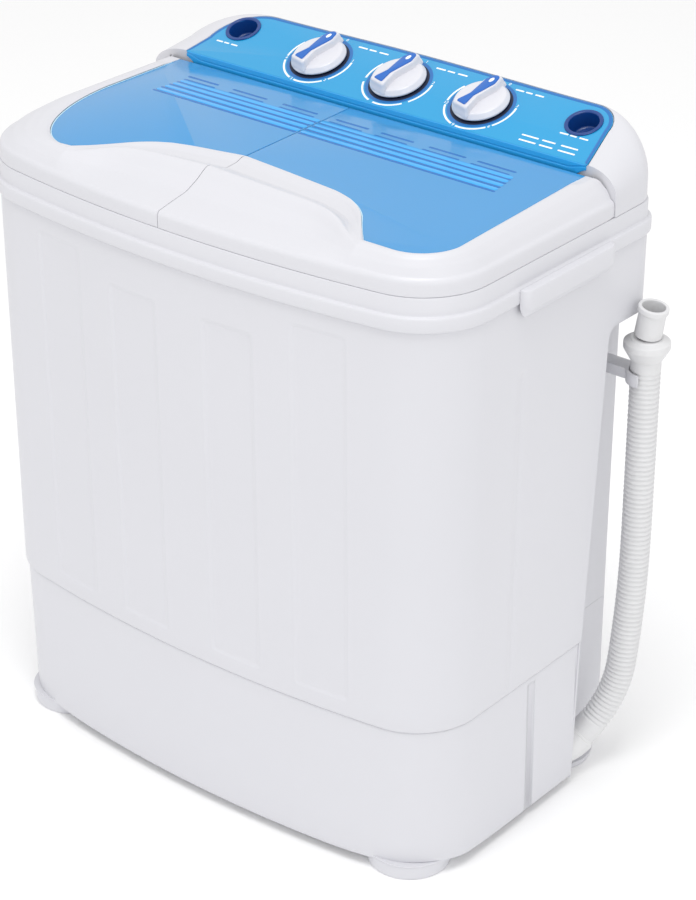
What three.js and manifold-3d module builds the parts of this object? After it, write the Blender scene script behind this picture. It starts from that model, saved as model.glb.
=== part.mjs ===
// Portable twin-tub washing machine: a wash tub and a spin basket side by side in one plastic body.
// Millimetres, +Z up, front towards -Y, origin on the floor at the middle of the body.

import * as THREE from 'three';
import * as BufferGeometryUtils from 'three/addons/utils/BufferGeometryUtils.js';
import Module from 'manifold-3d';

const wasm = await Module();
wasm.setup();

// ---- driving dimensions ----

const GAP = 0.3; // clearance between pieces that touch
const WALL = 3; // moulded wall thickness

const BODY = { halfWidth: 292, halfDepth: 184, frontRadius: 1500, cornerRadius: 77, backRadius: 32 };
const FOOT_TOP = 8;
const BASE_TOP = 166;
const CABINET_TOP = 585;
const DECK_TOP = 618;

const HOSE_NOTCH = { innerX: 250, frontLow: 78, frontHigh: 105, top: 505 };

const WASH_TUB = { x: 122, y: -38, halfX: 128, halfY: 118, radius: 80, bottom: 232 };
const SPIN_TUB = { x: -146, y: -40, radius: 112, bottom: 215 };
const BASKET = { radius: 90, bottom: 248, top: 592 };
const TUB_TOP = 611.7;

const SEAM_X = -22; // line between the two lids
const LID_SKIRT_TOP = 636;
const LID_REAR_Y = 102.5;
const HINGE = { y: 96.7, z: 648.1, barrelRadius: 5.8, rodRadius: 1.4 };
const WINDOW = { level: 652, slope: 0.02, thickness: 2.2 };
// Where each window's front corner turns into its outer side: an elliptical quarter.
const WASH_WINDOW = { cornerX: 188, sideX: 263, turnY: -98, roundX: 42, roundY: 42 };
const SPIN_WINDOW = { cornerX: 166, sideX: 251, turnY: -5, roundX: 76, roundY: 137 };
const LID_HUMP = { rise: 7.5, frontOf: -60, halfWidth: 192 }; // the raised band in front of the windows
const HINGE_LUG_X = [-236, SEAM_X, 236];

const PANEL = { frontY: 103.4, frontZ: 662, slopeDeg: 21, halfWidth: 249, depth: 82, thickness: 2.4, shiftX: 6 };
const HOUSING_FRONT_Y = 105.5;
const KNOB_X = [-101, 0, 101];
const KNOB_V = 39; // knob axis, measured up the panel's slope from its front edge
const KNOB = { skirtRadius: 28.5, bodyHeight: 9, bladeHeight: 17, shaftRadius: 3 };
// Half outlines of the knob's grip and of the inlay on it, front end first: x, y, fillet radius.
const KNOB_GRIP = waisted([[11, -26, 8], [6, -6, 10], [8.5, 16, 6], [4, 29, 3]]);
const KNOB_INLAY = waisted([[5.5, -22, 2], [2.6, -8, 6], [6.2, 16, 5], [3, 26, 4]]);
const INLET = { x: 212, v: 51, radius: 17, depth: 18 };

const FOOT = { x: 228, frontY: -118, rearY: 118, topRadius: 42, bottomRadius: 40 };
const HOSE = {
  radius: 15,
  collarRadius: 23,
  end: [302, 150, 462],
  headingDeg: 53.6, // plan direction in which the hose leaves the outlet
  uprightLength: 190.4,
  leanRadius: 1432,
  leanDeg: 6,
  bendRadius: 130,
  footDeg: 46,
};
const DRAIN = { x: 185, y: 20 };
const PULLEY = { z: 132, height: 14, large: 55, small: 22 };
const WASH_MOTOR = { x: 36, y: 52, bottom: 45, top: 118, radius: 50 };
const SPIN_MOTOR = { bottom: 60, top: 150, radius: 58, mountCircle: 44, mountRadius: 11 };
const TIMER = { width: 40, depth: 26, below: 8 }; // timer cases behind the panel

// ---- materials ----

function material(color, roughness, metalness = 0) {
  return new THREE.MeshStandardMaterial({ color, roughness, metalness });
}

const WHITE = material(0xe9e9ee, 0.45);
const BLUE = material(0x6fb6e4, 0.2);
const PANEL_BLUE = material(0x3fabe6, 0.3);
const INLET_BLUE = material(0x155aa8, 0.35);
const HOSE_WHITE = material(0xe6e6e4, 0.6);
const RUBBER = material(0x2b2b2d, 0.85);
const STEEL = material(0xa9adb2, 0.35, 0.9);
const GREY_PLASTIC = material(0x9aa0a6, 0.55);

// ---- geometry helpers ----

/** Points on an arc, both ends included, angles in degrees. */
function arc(cx, cy, radius, fromDeg, toDeg, steps) {
  const points = [];
  for (let i = 0; i <= steps; i += 1) {
    const angle = THREE.MathUtils.degToRad(fromDeg + ((toDeg - fromDeg) * i) / steps);
    points.push(new THREE.Vector2(cx + radius * Math.cos(angle), cy + radius * Math.sin(angle)));
  }
  return points;
}

/** A closed corner list from its right half. */
function waisted(rightHalf) {
  const leftHalf = rightHalf.map(([x, y, fillet]) => [-x, y, fillet]);
  return [...rightHalf, ...leftHalf.reverse()];
}

/** The lower right quarter of an ellipse, from its bottom round to its side. */
function ellipse(cx, cy, radiusX, radiusY, steps) {
  return arc(0, 0, 1, -90, 0, steps).map((p) => new THREE.Vector2(cx + radiusX * p.x, cy + radiusY * p.y));
}

/** A closed outline through corners [x, y, fillet radius], each fillet drawn as an arc. */
function filleted(corners, stepDeg = 15) {
  const points = [];
  corners.forEach(([x, y, radius], i) => {
    const corner = new THREE.Vector2(x, y);
    if (!radius) {
      points.push(corner);
      return;
    }
    const before = corners[(i + corners.length - 1) % corners.length];
    const after = corners[(i + 1) % corners.length];
    const toBefore = new THREE.Vector2(before[0] - x, before[1] - y).normalize();
    const toAfter = new THREE.Vector2(after[0] - x, after[1] - y).normalize();
    const halfAngle = Math.acos(THREE.MathUtils.clamp(toBefore.dot(toAfter), -1, 1)) / 2;
    const reach = radius / Math.tan(halfAngle);
    const start = corner.clone().addScaledVector(toBefore, reach);
    const end = corner.clone().addScaledVector(toAfter, reach);
    const steps = Math.max(1, Math.round((180 - THREE.MathUtils.radToDeg(2 * halfAngle)) / stepDeg));
    const middle = toBefore.clone().add(toAfter).normalize();
    const centre = corner.clone().addScaledVector(middle, radius / Math.sin(halfAngle));
    const first = start.clone().sub(centre).angle();
    let sweep = end.clone().sub(centre).angle() - first;
    if (sweep > Math.PI) sweep -= 2 * Math.PI;
    if (sweep < -Math.PI) sweep += 2 * Math.PI;
    for (let k = 0; k <= steps; k += 1) {
      const angle = first + (sweep * k) / steps;
      points.push(new THREE.Vector2(centre.x + radius * Math.cos(angle), centre.y + radius * Math.sin(angle)));
    }
  });
  return points;
}

/** Lifts a plan outline to a height, or to a height worked out at each of its points. */
function ringAt(outline, height) {
  return outline.map((p) => new THREE.Vector3(p.x, p.y, typeof height === 'function' ? height(p) : height));
}

/** A closed solid through rings of equal length: capped at both ends, or closed on itself. */
function loft(rings, closedLoop = false) {
  const count = rings[0].length;
  const positions = rings.flat().flatMap((p) => [p.x, p.y, p.z]);
  const index = [];
  const bands = closedLoop ? rings.length : rings.length - 1;
  for (let r = 0; r < bands; r += 1) {
    const low = r * count;
    const high = ((r + 1) % rings.length) * count;
    for (let i = 0; i < count; i += 1) {
      const j = (i + 1) % count;
      index.push(low + i, low + j, high + j);
      index.push(low + i, high + j, high + i);
    }
  }
  if (!closedLoop) {
    capWithFan(positions, index, rings[0], 0, true);
    capWithFan(positions, index, rings.at(-1), (rings.length - 1) * count, false);
  }
  const geometry = new THREE.BufferGeometry();
  geometry.setAttribute('position', new THREE.Float32BufferAttribute(positions, 3));
  geometry.setIndex(index);
  return geometry;
}

/** The middle of a ring's area, on the ring's own plane. */
function areaCentre(ring) {
  const origin = ring[0];
  const centre = new THREE.Vector3();
  let total = 0;
  for (let i = 1; i < ring.length - 1; i += 1) {
    const a = ring[i];
    const b = ring[i + 1];
    const area = (a.x - origin.x) * (b.y - origin.y) - (a.y - origin.y) * (b.x - origin.x);
    centre.addScaledVector(origin, area).addScaledVector(a, area).addScaledVector(b, area);
    total += 3 * area;
  }
  return centre.divideScalar(total);
}

/** Closes an end ring with a fan of triangles about its middle. */
function capWithFan(positions, index, ring, offset, facesBack) {
  const centre = areaCentre(ring);
  const hub = positions.length / 3;
  positions.push(centre.x, centre.y, centre.z);
  for (let i = 0; i < ring.length; i += 1) {
    const j = (i + 1) % ring.length;
    if (facesBack) index.push(offset + j, offset + i, hub);
    else index.push(offset + i, offset + j, hub);
  }
}

function toSolid(geometry) {
  const bare = geometry.clone();
  bare.deleteAttribute('normal');
  bare.deleteAttribute('uv');
  const merged = BufferGeometryUtils.mergeVertices(bare, 1e-4);
  const vertProperties = new Float32Array(merged.attributes.position.array);
  const triVerts = new Uint32Array(merged.index.array);
  return new wasm.Manifold(new wasm.Mesh({ numProp: 3, vertProperties, triVerts }));
}

function fromSolid(solid) {
  const mesh = solid.getMesh();
  const geometry = new THREE.BufferGeometry();
  geometry.setAttribute('position', new THREE.Float32BufferAttribute(mesh.vertProperties, 3));
  geometry.setIndex(Array.from(mesh.triVerts));
  geometry.computeVertexNormals();
  return geometry;
}

function cut(geometry, ...cutters) {
  return fromSolid(cutters.reduce((solid, cutter) => solid.subtract(toSolid(cutter)), toSolid(geometry)));
}

function join(geometry, ...others) {
  return fromSolid(others.reduce((solid, other) => solid.add(toSolid(other)), toSolid(geometry)));
}

/** A box between two corners. */
function box(low, high) {
  const size = high.map((value, axis) => value - low[axis]);
  const centre = high.map((value, axis) => (value + low[axis]) / 2);
  return new THREE.BoxGeometry(...size).translate(...centre);
}

/** A cylinder along Z from one height to another. */
function post(x, y, low, high, bottomRadius, topRadius = bottomRadius, sides = 16) {
  const geometry = new THREE.CylinderGeometry(topRadius, bottomRadius, high - low, sides);
  return geometry.rotateX(Math.PI / 2).translate(x, y, (low + high) / 2);
}

/** A rod along X. */
function rodX(fromX, toX, y, z, radius, sides = 12) {
  const geometry = new THREE.CylinderGeometry(radius, radius, toX - fromX, sides);
  return geometry.rotateZ(-Math.PI / 2).translate((fromX + toX) / 2, y, z);
}

/** A solid of revolution about Z from a profile of [radius, height] pairs, listed bottom to top. */
function turned(profile, x = 0, y = 0, sides = 24) {
  const points = profile.map(([radius, height]) => new THREE.Vector2(radius, height));
  return new THREE.LatheGeometry(points, sides).rotateX(Math.PI / 2).translate(x, y, 0);
}

/** A shape drawn in the YZ plane, extruded along X. */
function extrudedAlongX(pointsYZ, fromX, toX) {
  const shape = new THREE.Shape(pointsYZ.map(([y, z]) => new THREE.Vector2(y, z)));
  const geometry = new THREE.ExtrudeGeometry(shape, { depth: toX - fromX, bevelEnabled: false });
  const axes = new THREE.Matrix4().makeBasis(
    new THREE.Vector3(0, 1, 0),
    new THREE.Vector3(0, 0, 1),
    new THREE.Vector3(1, 0, 0),
  );
  return geometry.applyMatrix4(axes).translate(fromX, 0, 0);
}

// ---- the body's plan outline ----

/** Y of the bowed front edge, for an outline that lies inset from the flange. */
function frontY(x, inset = 0) {
  const radius = BODY.frontRadius - inset;
  return BODY.frontRadius - BODY.halfDepth - Math.sqrt(radius * radius - x * x);
}

/** Where the front corner arcs are centred, and how far round they go. */
function frontCorner() {
  const x = BODY.halfWidth - BODY.cornerRadius;
  const reach = BODY.frontRadius - BODY.cornerRadius;
  const y = BODY.frontRadius - BODY.halfDepth - Math.sqrt(reach * reach - x * x);
  return { x, y, bowDeg: THREE.MathUtils.radToDeg(Math.asin(x / reach)) };
}

/** The body's outline, inset evenly from its widest flange, anticlockwise from the front's left end. */
function bodyOutline(inset) {
  const { x, y, bowDeg } = frontCorner();
  const radius = BODY.cornerRadius - inset;
  const backX = BODY.halfWidth - BODY.backRadius;
  const backY = BODY.halfDepth - BODY.backRadius;
  const backRadius = Math.max(4, BODY.backRadius - inset);
  const backShift = BODY.backRadius - inset - backRadius;
  const frontCentreY = BODY.frontRadius - BODY.halfDepth;
  return [
    ...arc(0, frontCentreY, BODY.frontRadius - inset, -90 - bowDeg, -90 + bowDeg, 8),
    ...arc(x, y, radius, -90 + bowDeg, 0, 7).slice(1),
    ...arc(backX + backShift, backY + backShift, backRadius, 0, 90, 4),
    ...arc(-backX - backShift, backY + backShift, backRadius, 90, 180, 4),
    ...arc(-x, y, radius, 180, 270 - bowDeg, 7).slice(0, -1),
  ];
}

function bodyRing(inset, height) {
  return ringAt(bodyOutline(inset), height);
}

// ---- casings ----

/** The recess down the right rear corner, where the drain hose lies. */
function hoseNotch(grow = 0) {
  const { innerX, frontLow, frontHigh, top } = HOSE_NOTCH;
  const outline = [
    [frontLow - grow, -10],
    [frontLow + 8 - grow, BASE_TOP],
    [frontHigh - grow, top - 10 + grow],
    [frontHigh + 10 - grow, top + grow],
    [BODY.halfDepth + 20, top + grow],
    [BODY.halfDepth + 20, -10],
  ];
  return extrudedAlongX(outline, innerX - grow, BODY.halfWidth + 20);
}

/** The cabinet's left side stands more upright than its right one. */
function cabinetRing(inset, height, leftShare) {
  const leftGrowth = 6;
  return bodyRing(inset, height).map((p) => {
    if (p.x < 0) p.x += (leftShare * leftGrowth * p.x) / BODY.halfWidth;
    return p;
  });
}

function baseShell() {
  const outside = loft([
    bodyRing(11, FOOT_TOP),
    bodyRing(6.5, FOOT_TOP + 7),
    bodyRing(8, BASE_TOP),
  ]);
  const inside = loft([
    bodyRing(14, FOOT_TOP + WALL),
    bodyRing(9.5, FOOT_TOP + 10),
    bodyRing(8 + WALL, BASE_TOP + 10),
  ]);
  const slot = box([282, 0, 33], [300, 10, 158]);
  const hollow = cut(inside, hoseNotch(WALL));
  const floorHoles = [
    post(WASH_TUB.x, WASH_TUB.y, 0, 60, 18, 18, 20),
    post(SPIN_TUB.x, SPIN_TUB.y, 0, 60, 24, 24, 20),
  ];
  return cut(outside, hoseNotch(), hollow, slot, ...floorHoles);
}

function cabinetShell() {
  const low = BASE_TOP + GAP;
  const lowInset = 6.5;
  const topInset = 3.5;
  const outside = loft([cabinetRing(lowInset, low, 1), cabinetRing(topInset, CABINET_TOP - GAP, 0)]);
  const inside = loft([
    cabinetRing(lowInset + WALL, low - 20, 1),
    cabinetRing(topInset + WALL, CABINET_TOP + 20, 0),
  ]);
  const hollow = cut(inside, hoseNotch(WALL));
  return cut(outside, hoseNotch(), hollow);
}

function washTubOutline(inset) {
  const { x, y, halfX, halfY, radius } = WASH_TUB;
  const hx = halfX - inset;
  const hy = halfY - inset;
  const r = radius - inset;
  return [
    ...arc(x + hx - r, y - hy + r, r, -90, 0, 6),
    ...arc(x + hx - r, y + hy - r, r, 0, 90, 6),
    ...arc(x - hx + r, y + hy - r, r, 90, 180, 6),
    ...arc(x - hx + r, y - hy + r, r, 180, 270, 6),
  ];
}

function topDeck() {
  const outside = loft([
    bodyRing(1.5, CABINET_TOP),
    bodyRing(0, CABINET_TOP + 2),
    bodyRing(0, CABINET_TOP + 14),
    bodyRing(3.5, CABINET_TOP + 16),
    bodyRing(4, DECK_TOP),
  ]);
  const plateUnderside = TUB_TOP + GAP;
  const underside = loft([bodyRing(7.5, CABINET_TOP - 10), bodyRing(7.5, plateUnderside)]);
  const washMouth = loft([ringAt(washTubOutline(3), 600), ringAt(washTubOutline(3), 630)]);
  const spinMouth = post(SPIN_TUB.x, SPIN_TUB.y, 600, 630, SPIN_TUB.radius - 3, SPIN_TUB.radius - 3, 32);
  return cut(outside, underside, washMouth, spinMouth);
}

function washTub() {
  const flange = TUB_TOP - WALL;
  const draft = 10;
  const tub = loft([
    ringAt(washTubOutline(draft + 14), WASH_TUB.bottom),
    ringAt(washTubOutline(draft), WASH_TUB.bottom + 16),
    ringAt(washTubOutline(0), flange),
    ringAt(washTubOutline(-8), flange),
    ringAt(washTubOutline(-8), TUB_TOP),
    ringAt(washTubOutline(WALL), TUB_TOP),
    ringAt(washTubOutline(draft + WALL), WASH_TUB.bottom + 18),
    ringAt(washTubOutline(draft + 17), WASH_TUB.bottom + WALL),
  ]);
  const shaftHole = post(WASH_TUB.x, WASH_TUB.y, 200, 260, 9);
  return cut(tub, shaftHole);
}

function spinOuterTub() {
  const { x, y, radius, bottom } = SPIN_TUB;
  const flange = TUB_TOP - WALL;
  const profile = [
    [12, bottom],
    [radius - 16, bottom],
    [radius - 6, bottom + 10],
    [radius, flange],
    [radius + 6, flange],
    [radius + 6, TUB_TOP],
    [radius - WALL, TUB_TOP],
    [radius - 6 - WALL, bottom + 12],
    [radius - 18, bottom + WALL],
    [12, bottom + WALL],
    [12, bottom],
  ];
  return turned(profile, x, y, 32);
}

function backCover() {
  const outline = filleted([[-150, 60, 14], [150, 60, 14], [150, 300, 14], [-150, 300, 14]], 30);
  const plate = new THREE.ExtrudeGeometry(new THREE.Shape(outline), { depth: 2, bevelEnabled: false });
  return plate.rotateX(Math.PI / 2).translate(0, BODY.halfDepth - 3.1, 0);
}

function foot(x, y) {
  return turned(
    [
      [0, 0],
      [FOOT.bottomRadius - 2, 0],
      [FOOT.bottomRadius, 2],
      [FOOT.topRadius, FOOT_TOP - GAP],
      [0, FOOT_TOP - GAP],
    ],
    x,
    y,
    20,
  );
}

/** A ledge along the flange, with a rounded underside, that a hand lifts by. */
function carryGrip(side) {
  const outline = filleted([[0, 600, 0], [0, 573, 0], [8.7, 580, 4], [8.7, 600, 3]], 20);
  const shape = new THREE.Shape(outline.map((p) => new THREE.Vector2(-p.x, p.y)).reverse());
  const length = 142;
  const ledge = new THREE.ExtrudeGeometry(shape, { depth: length, bevelEnabled: false });
  ledge.rotateX(Math.PI / 2);
  const flankX = BODY.halfWidth + GAP;
  if (side > 0) ledge.rotateZ(Math.PI).translate(flankX, -48, 0);
  else ledge.translate(-flankX, -48 + length, 0);
  return ledge;
}

// ---- control housing ----

const panelSlope = THREE.MathUtils.degToRad(PANEL.slopeDeg);

/** Height of the housing's sloping top at a given Y, before the panel is laid on it. */
function housingTop(y) {
  const drop = (PANEL.thickness + GAP) / Math.cos(panelSlope);
  return PANEL.frontZ - drop + (y - PANEL.frontY) * Math.tan(panelSlope);
}

/** Moves a piece built on the panel's own axes (Z out of the panel) to where the panel lies. */
function onPanel(geometry) {
  return geometry.rotateX(panelSlope).translate(PANEL.shiftX, PANEL.frontY, PANEL.frontZ);
}

function housingOutline(side, back, radius) {
  const frontSide = side + 1.5;
  return [
    new THREE.Vector2(-frontSide, HOUSING_FRONT_Y),
    new THREE.Vector2(frontSide, HOUSING_FRONT_Y),
    ...arc(side - radius, back - radius, radius, 0, 90, 6),
    ...arc(-side + radius, back - radius, radius, 90, 180, 6),
  ];
}

function controlHousing() {
  const low = DECK_TOP + GAP;
  const skirt = housingOutline(287, 180, 34);
  const shoulder = housingOutline(285, 178, 34);
  const crown = housingOutline(262, 182.5, 36);
  const top = (p) => housingTop(p.y);
  const outside = loft([
    ringAt(skirt, low),
    ringAt(shoulder, (p) => Math.min(LID_SKIRT_TOP + 6, housingTop(p.y) - 8)),
    ringAt(crown, top),
  ]);
  const inner = housingOutline(262 - 2 * WALL, 176, 32).map((p) => p.clone().setY(Math.max(p.y, HOUSING_FRONT_Y + WALL)));
  const inside = loft([
    ringAt(inner, low - 10),
    ringAt(inner, (p) => housingTop(p.y) - WALL - 1),
  ]);
  const shaftHoles = KNOB_X.map((x) => onPanel(post(x, KNOB_V, -30, 10, KNOB.shaftRadius + 1)));
  const inletHoles = [-1, 1].map((side) => onPanel(post(side * INLET.x, INLET.v, -40, 10, INLET.radius + 0.5)));
  return cut(outside, inside, ...shaftHoles, ...inletHoles);
}

function controlPanel() {
  const { halfWidth, depth, thickness } = PANEL;
  const backHalf = halfWidth - 9;
  const outline = [
    new THREE.Vector2(-halfWidth, 0.5),
    new THREE.Vector2(halfWidth, 0.5),
    ...arc(backHalf - 30, depth - 30, 30, 0, 90, 6),
    ...arc(-backHalf + 30, depth - 30, 30, 90, 180, 6),
  ];
  const plate = loft([ringAt(outline, -thickness), ringAt(outline, 0)]);
  const shaftHoles = KNOB_X.map((x) => post(x, KNOB_V, -10, 10, KNOB.shaftRadius + 1));
  const inletHoles = [-1, 1].map((side) => post(side * INLET.x, INLET.v, -10, 10, INLET.radius + 0.5));
  const face = onPanel(cut(plate, ...shaftHoles, ...inletHoles));
  const lip = box([-halfWidth + 1, PANEL.frontY, LID_SKIRT_TOP + 8], [halfWidth - 1, PANEL.frontY + 1.8, PANEL.frontZ - 0.8]);
  return join(face, lip.translate(PANEL.shiftX, 0, 0));
}

/** An open cup that tap water is poured into; its floor has a spout down to the tub. */
function waterInlet(side) {
  const { radius, depth } = INLET;
  const profile = [
    [4, -depth],
    [radius - 2, -depth],
    [radius, 0.4],
    [radius + 2, 0.4],
    [radius + 2, 1.6],
    [radius - 2, 1.6],
    [radius - 4, WALL - depth],
    [4, WALL - depth],
    [4, -depth],
  ];
  return onPanel(turned(profile, side * INLET.x, INLET.v, 20));
}

/** A round cap with a raised grip across it, and the shaft that turns the timer behind the panel. */
function knob(x) {
  const { skirtRadius, bodyHeight, bladeHeight, shaftRadius } = KNOB;
  const cap = turned([
    [0, 2],
    [skirtRadius - 3, 2],
    [skirtRadius, 4],
    [skirtRadius - 4, bodyHeight],
    [0, bodyHeight + 1],
  ]);
  const bladeOutline = filleted(KNOB_GRIP);
  const blade = loft([
    ringAt(bladeOutline, 3),
    ringAt(bladeOutline.map((p) => p.clone().multiplyScalar(0.92)), bladeHeight),
  ]);
  const shaft = post(0, 0, -19, 5, shaftRadius);
  const pointerLean = THREE.MathUtils.degToRad(-14);
  return onPanel(join(cap, blade, shaft).rotateZ(pointerLean).translate(x, KNOB_V, 0));
}

function knobInsert(x) {
  const outline = filleted(KNOB_INLAY, 30);
  const low = KNOB.bladeHeight + GAP;
  const plate = loft([ringAt(outline, low), ringAt(outline, low + 1)]);
  const pointerLean = THREE.MathUtils.degToRad(-14);
  return onPanel(plate.rotateZ(pointerLean).translate(x, KNOB_V, 0));
}

function timerBody(x) {
  const { width, depth, below } = TIMER;
  const half = width / 2;
  const bodyBox = box([x - half, KNOB_V - half, -below - depth], [x + half, KNOB_V + half, -below]);
  return onPanel(cut(bodyBox, post(x, KNOB_V, -22, 10, KNOB.shaftRadius + 1)));
}

// ---- lids ----

function windowPlane(y) {
  return WINDOW.level + WINDOW.slope * y;
}

/** Plan outline of one lid; side is +1 for the wash lid and -1 for the spin lid. */
function lidOutline(side, inset, rearInset) {
  const { x, y, bowDeg } = frontCorner();
  const lidInset = 5 + inset;
  const radius = BODY.cornerRadius - lidInset;
  const seam = side * SEAM_X + GAP + inset;
  const front = [];
  const steps = 8;
  for (let i = 0; i <= steps; i += 1) {
    const px = seam + ((x + radius * Math.sin(THREE.MathUtils.degToRad(bowDeg)) - seam) * i) / steps;
    front.push(new THREE.Vector2(px, frontY(px, lidInset)));
  }
  const rear = LID_REAR_Y - rearInset;
  return mirrored([
    new THREE.Vector2(seam, rear),
    ...front,
    ...arc(x, y, radius, -90 + bowDeg, 0, 6).slice(1),
    new THREE.Vector2(BODY.halfWidth - lidInset, rear),
  ], side);
}

/** Plan outline of the clear window, matched point for point with lidOutline. */
function windowOutline(side, seamInset, rearInset, edgeInset = 0) {
  const seam = side * SEAM_X + GAP + seamInset;
  const { cornerX: corner, sideX, turnY, roundX, roundY } = side > 0 ? WASH_WINDOW : SPIN_WINDOW;
  const right = sideX - edgeInset;
  const rear = LID_REAR_Y - rearInset;
  const e = edgeInset;
  return mirrored([
    new THREE.Vector2(seam, rear),
    new THREE.Vector2(seam, -57 + e),
    new THREE.Vector2(seam + (corner - 100 - seam) * 0.5, -62 + e),
    new THREE.Vector2(corner - 88, -69 + e),
    new THREE.Vector2(corner - 68, -75 + e),
    new THREE.Vector2(corner - 52, -84 + e),
    new THREE.Vector2(corner - 38, -96 + e),
    new THREE.Vector2(corner - 26, -111 + e),
    new THREE.Vector2(corner - 12, -127 + e),
    new THREE.Vector2(corner + e, -140 + e),
    ...ellipse(sideX - roundX, turnY, roundX - e, roundY - e, 6).slice(1),
    new THREE.Vector2(right - 5, rear),
  ], side);
}

function mirrored(points, side) {
  if (side > 0) return points;
  return points.map((p) => new THREE.Vector2(-p.x, p.y)).reverse();
}

/** Everything behind the hinge's barrel, cut away so that the rear edge turns clear of the housing. */
function behindBarrel() {
  const { y, z, barrelRadius } = HINGE;
  const points = arc(y, z, barrelRadius, 90, 0, 6).map((p) => [p.x, p.y]);
  points.push([y + 30, z], [y + 30, z + 30], [y, z + 30]);
  return extrudedAlongX(points.reverse(), -320, 320);
}

function lugClearance(x) {
  return box([x - 4.5, HINGE.y - 7, 600], [x + 4.5, HINGE.y + 15, windowPlane(HINGE.y) - 2.4]);
}

function lidFrame(side) {
  const low = DECK_TOP + GAP;
  const skin = WALL;
  const blend = (from, to, share) => from.map((p, i) => p.clone().lerp(to[i], share));
  const outer = lidOutline(side, 0, 0);
  const inner = lidOutline(side, skin, 9.5);
  const windowRing = windowOutline(side, skin + 1, 10);
  const crest = blend(windowRing, lidOutline(side, 1, 1), 0.42);
  const innerCrest = blend(windowOutline(side, skin + 2, 11), lidOutline(side, skin + 1, 11), 0.42);
  const innerWindow = windowOutline(side, skin + 2, 11);
  const onHump = (p) => p.y < LID_HUMP.frontOf && Math.abs(p.x) < LID_HUMP.halfWidth;
  const crestTop = (p) => windowPlane(p.y) + (onHump(p) ? LID_HUMP.rise : -1);
  const shell = loft([
    ringAt(innerWindow, (p) => windowPlane(p.y) - 6),
    ringAt(innerCrest, (p) => crestTop(p) - skin - 2),
    ringAt(inner, LID_SKIRT_TOP - skin),
    ringAt(inner, low),
    ringAt(outer, low),
    ringAt(outer, LID_SKIRT_TOP),
    ringAt(crest, crestTop),
    ringAt(windowRing, (p) => windowPlane(p.y)),
  ]);
  const pocket = windowOutline(side, -8, -8, -GAP);
  const opening = windowOutline(side, 8, 14, 6);
  const x = { low: Math.min(...outer.map((p) => p.x)) - 1, high: Math.max(...outer.map((p) => p.x)) + 1 };
  return cut(
    shell,
    loft([ringAt(pocket, (p) => windowPlane(p.y) - WINDOW.thickness - GAP), ringAt(pocket, 700)]),
    loft([ringAt(opening, 600), ringAt(opening, 700)]),
    behindBarrel(),
    box([x.low + 8, 85, 600], [x.high - 8, 110, HINGE.z - 4]),
    box([x.low, HINGE.y, 600], [x.high, 110, 634]),
    rodX(side > 0 ? x.low - 5 : -250, side > 0 ? 250 : x.high + 5, HINGE.y, HINGE.z, HINGE.rodRadius + 0.35, 10),
    ...HINGE_LUG_X.map(lugClearance),
  );
}

function lidWindow(side) {
  const outline = windowOutline(side, 0, 0.2);
  const plate = loft([
    ringAt(outline, (p) => windowPlane(p.y) - WINDOW.thickness),
    ringAt(outline, (p) => windowPlane(p.y)),
  ]);
  return cut(plate, behindBarrel());
}

/** Runs through the lid's rear rail and both of its lugs. */
function lidRod(side) {
  const innerEnd = side * SEAM_X + 1.2;
  const outerEnd = 244;
  const [from, to] = side > 0 ? [innerEnd, outerEnd] : [-outerEnd, -innerEnd];
  return rodX(from, to, HINGE.y, HINGE.z, HINGE.rodRadius, 10);
}

/** An upright on the deck with an eye for the hinge rod. */
function hingeLug(x) {
  const radius = 2.5;
  const points = arc(HINGE.y, HINGE.z, radius, 0, 180, 8).map((p) => [p.x, p.y]);
  points.push([HINGE.y - radius, DECK_TOP + GAP], [HINGE.y + radius, DECK_TOP + GAP]);
  const upright = extrudedAlongX(points, x - 3.5, x + 3.5);
  return cut(upright, rodX(x - 10, x + 10, HINGE.y, HINGE.z, HINGE.rodRadius + 0.35, 10));
}

// ---- wash drive ----

/** The ribbed disc that stirs the water. */
function pulsator() {
  const { x, y, bottom } = WASH_TUB;
  const low = bottom + 6;
  const disc = turned([[0, low], [84, low], [88, low + 4], [60, low + 10], [26, low + 16], [0, low + 24]], x, y, 24);
  const ribs = [];
  for (let i = 0; i < 6; i += 1) {
    const outline = filleted([[6, -6, 0], [78, -4, 3], [78, 4, 3], [6, 6, 0]], 45);
    const rib = loft([ringAt(outline, low + 2), ringAt(outline.map((p) => new THREE.Vector2(p.x, p.y * 0.5)), low + 26)]);
    ribs.push(rib.rotateZ((i * Math.PI) / 3).translate(x, y, 0));
  }
  return join(disc, ...ribs);
}

function pulley(x, y, radius) {
  const { z, height } = PULLEY;
  const bore = 6.6;
  const half = height / 2;
  return turned([
    [bore, z - half],
    [radius + 3, z - half],
    [radius + 3, z - half + 2],
    [radius, z - 3],
    [radius, z + 3],
    [radius + 3, z + half - 2],
    [radius + 3, z + half],
    [bore, z + half],
    [bore, z - half],
  ], x, y, 22);
}

/** A flat band round both pulleys: two arcs joined by their outer tangents. */
function driveBelt() {
  const dx = WASH_MOTOR.x - WASH_TUB.x;
  const dy = WASH_MOTOR.y - WASH_TUB.y;
  const distance = Math.hypot(dx, dy);
  const heading = THREE.MathUtils.radToDeg(Math.atan2(dy, dx));
  const lean = THREE.MathUtils.radToDeg(Math.acos((PULLEY.large - PULLEY.small) / distance));
  const band = (offset) => [
    ...arc(WASH_TUB.x, WASH_TUB.y, PULLEY.large + offset, heading + lean, heading + 360 - lean, 20),
    ...arc(WASH_MOTOR.x, WASH_MOTOR.y, PULLEY.small + offset, heading - lean, heading + lean, 10),
  ];
  const half = 2.6;
  return loft([
    ringAt(band(3), PULLEY.z - half),
    ringAt(band(3), PULLEY.z + half),
    ringAt(band(0.5), PULLEY.z + half),
    ringAt(band(0.5), PULLEY.z - half),
  ], true);
}

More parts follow.
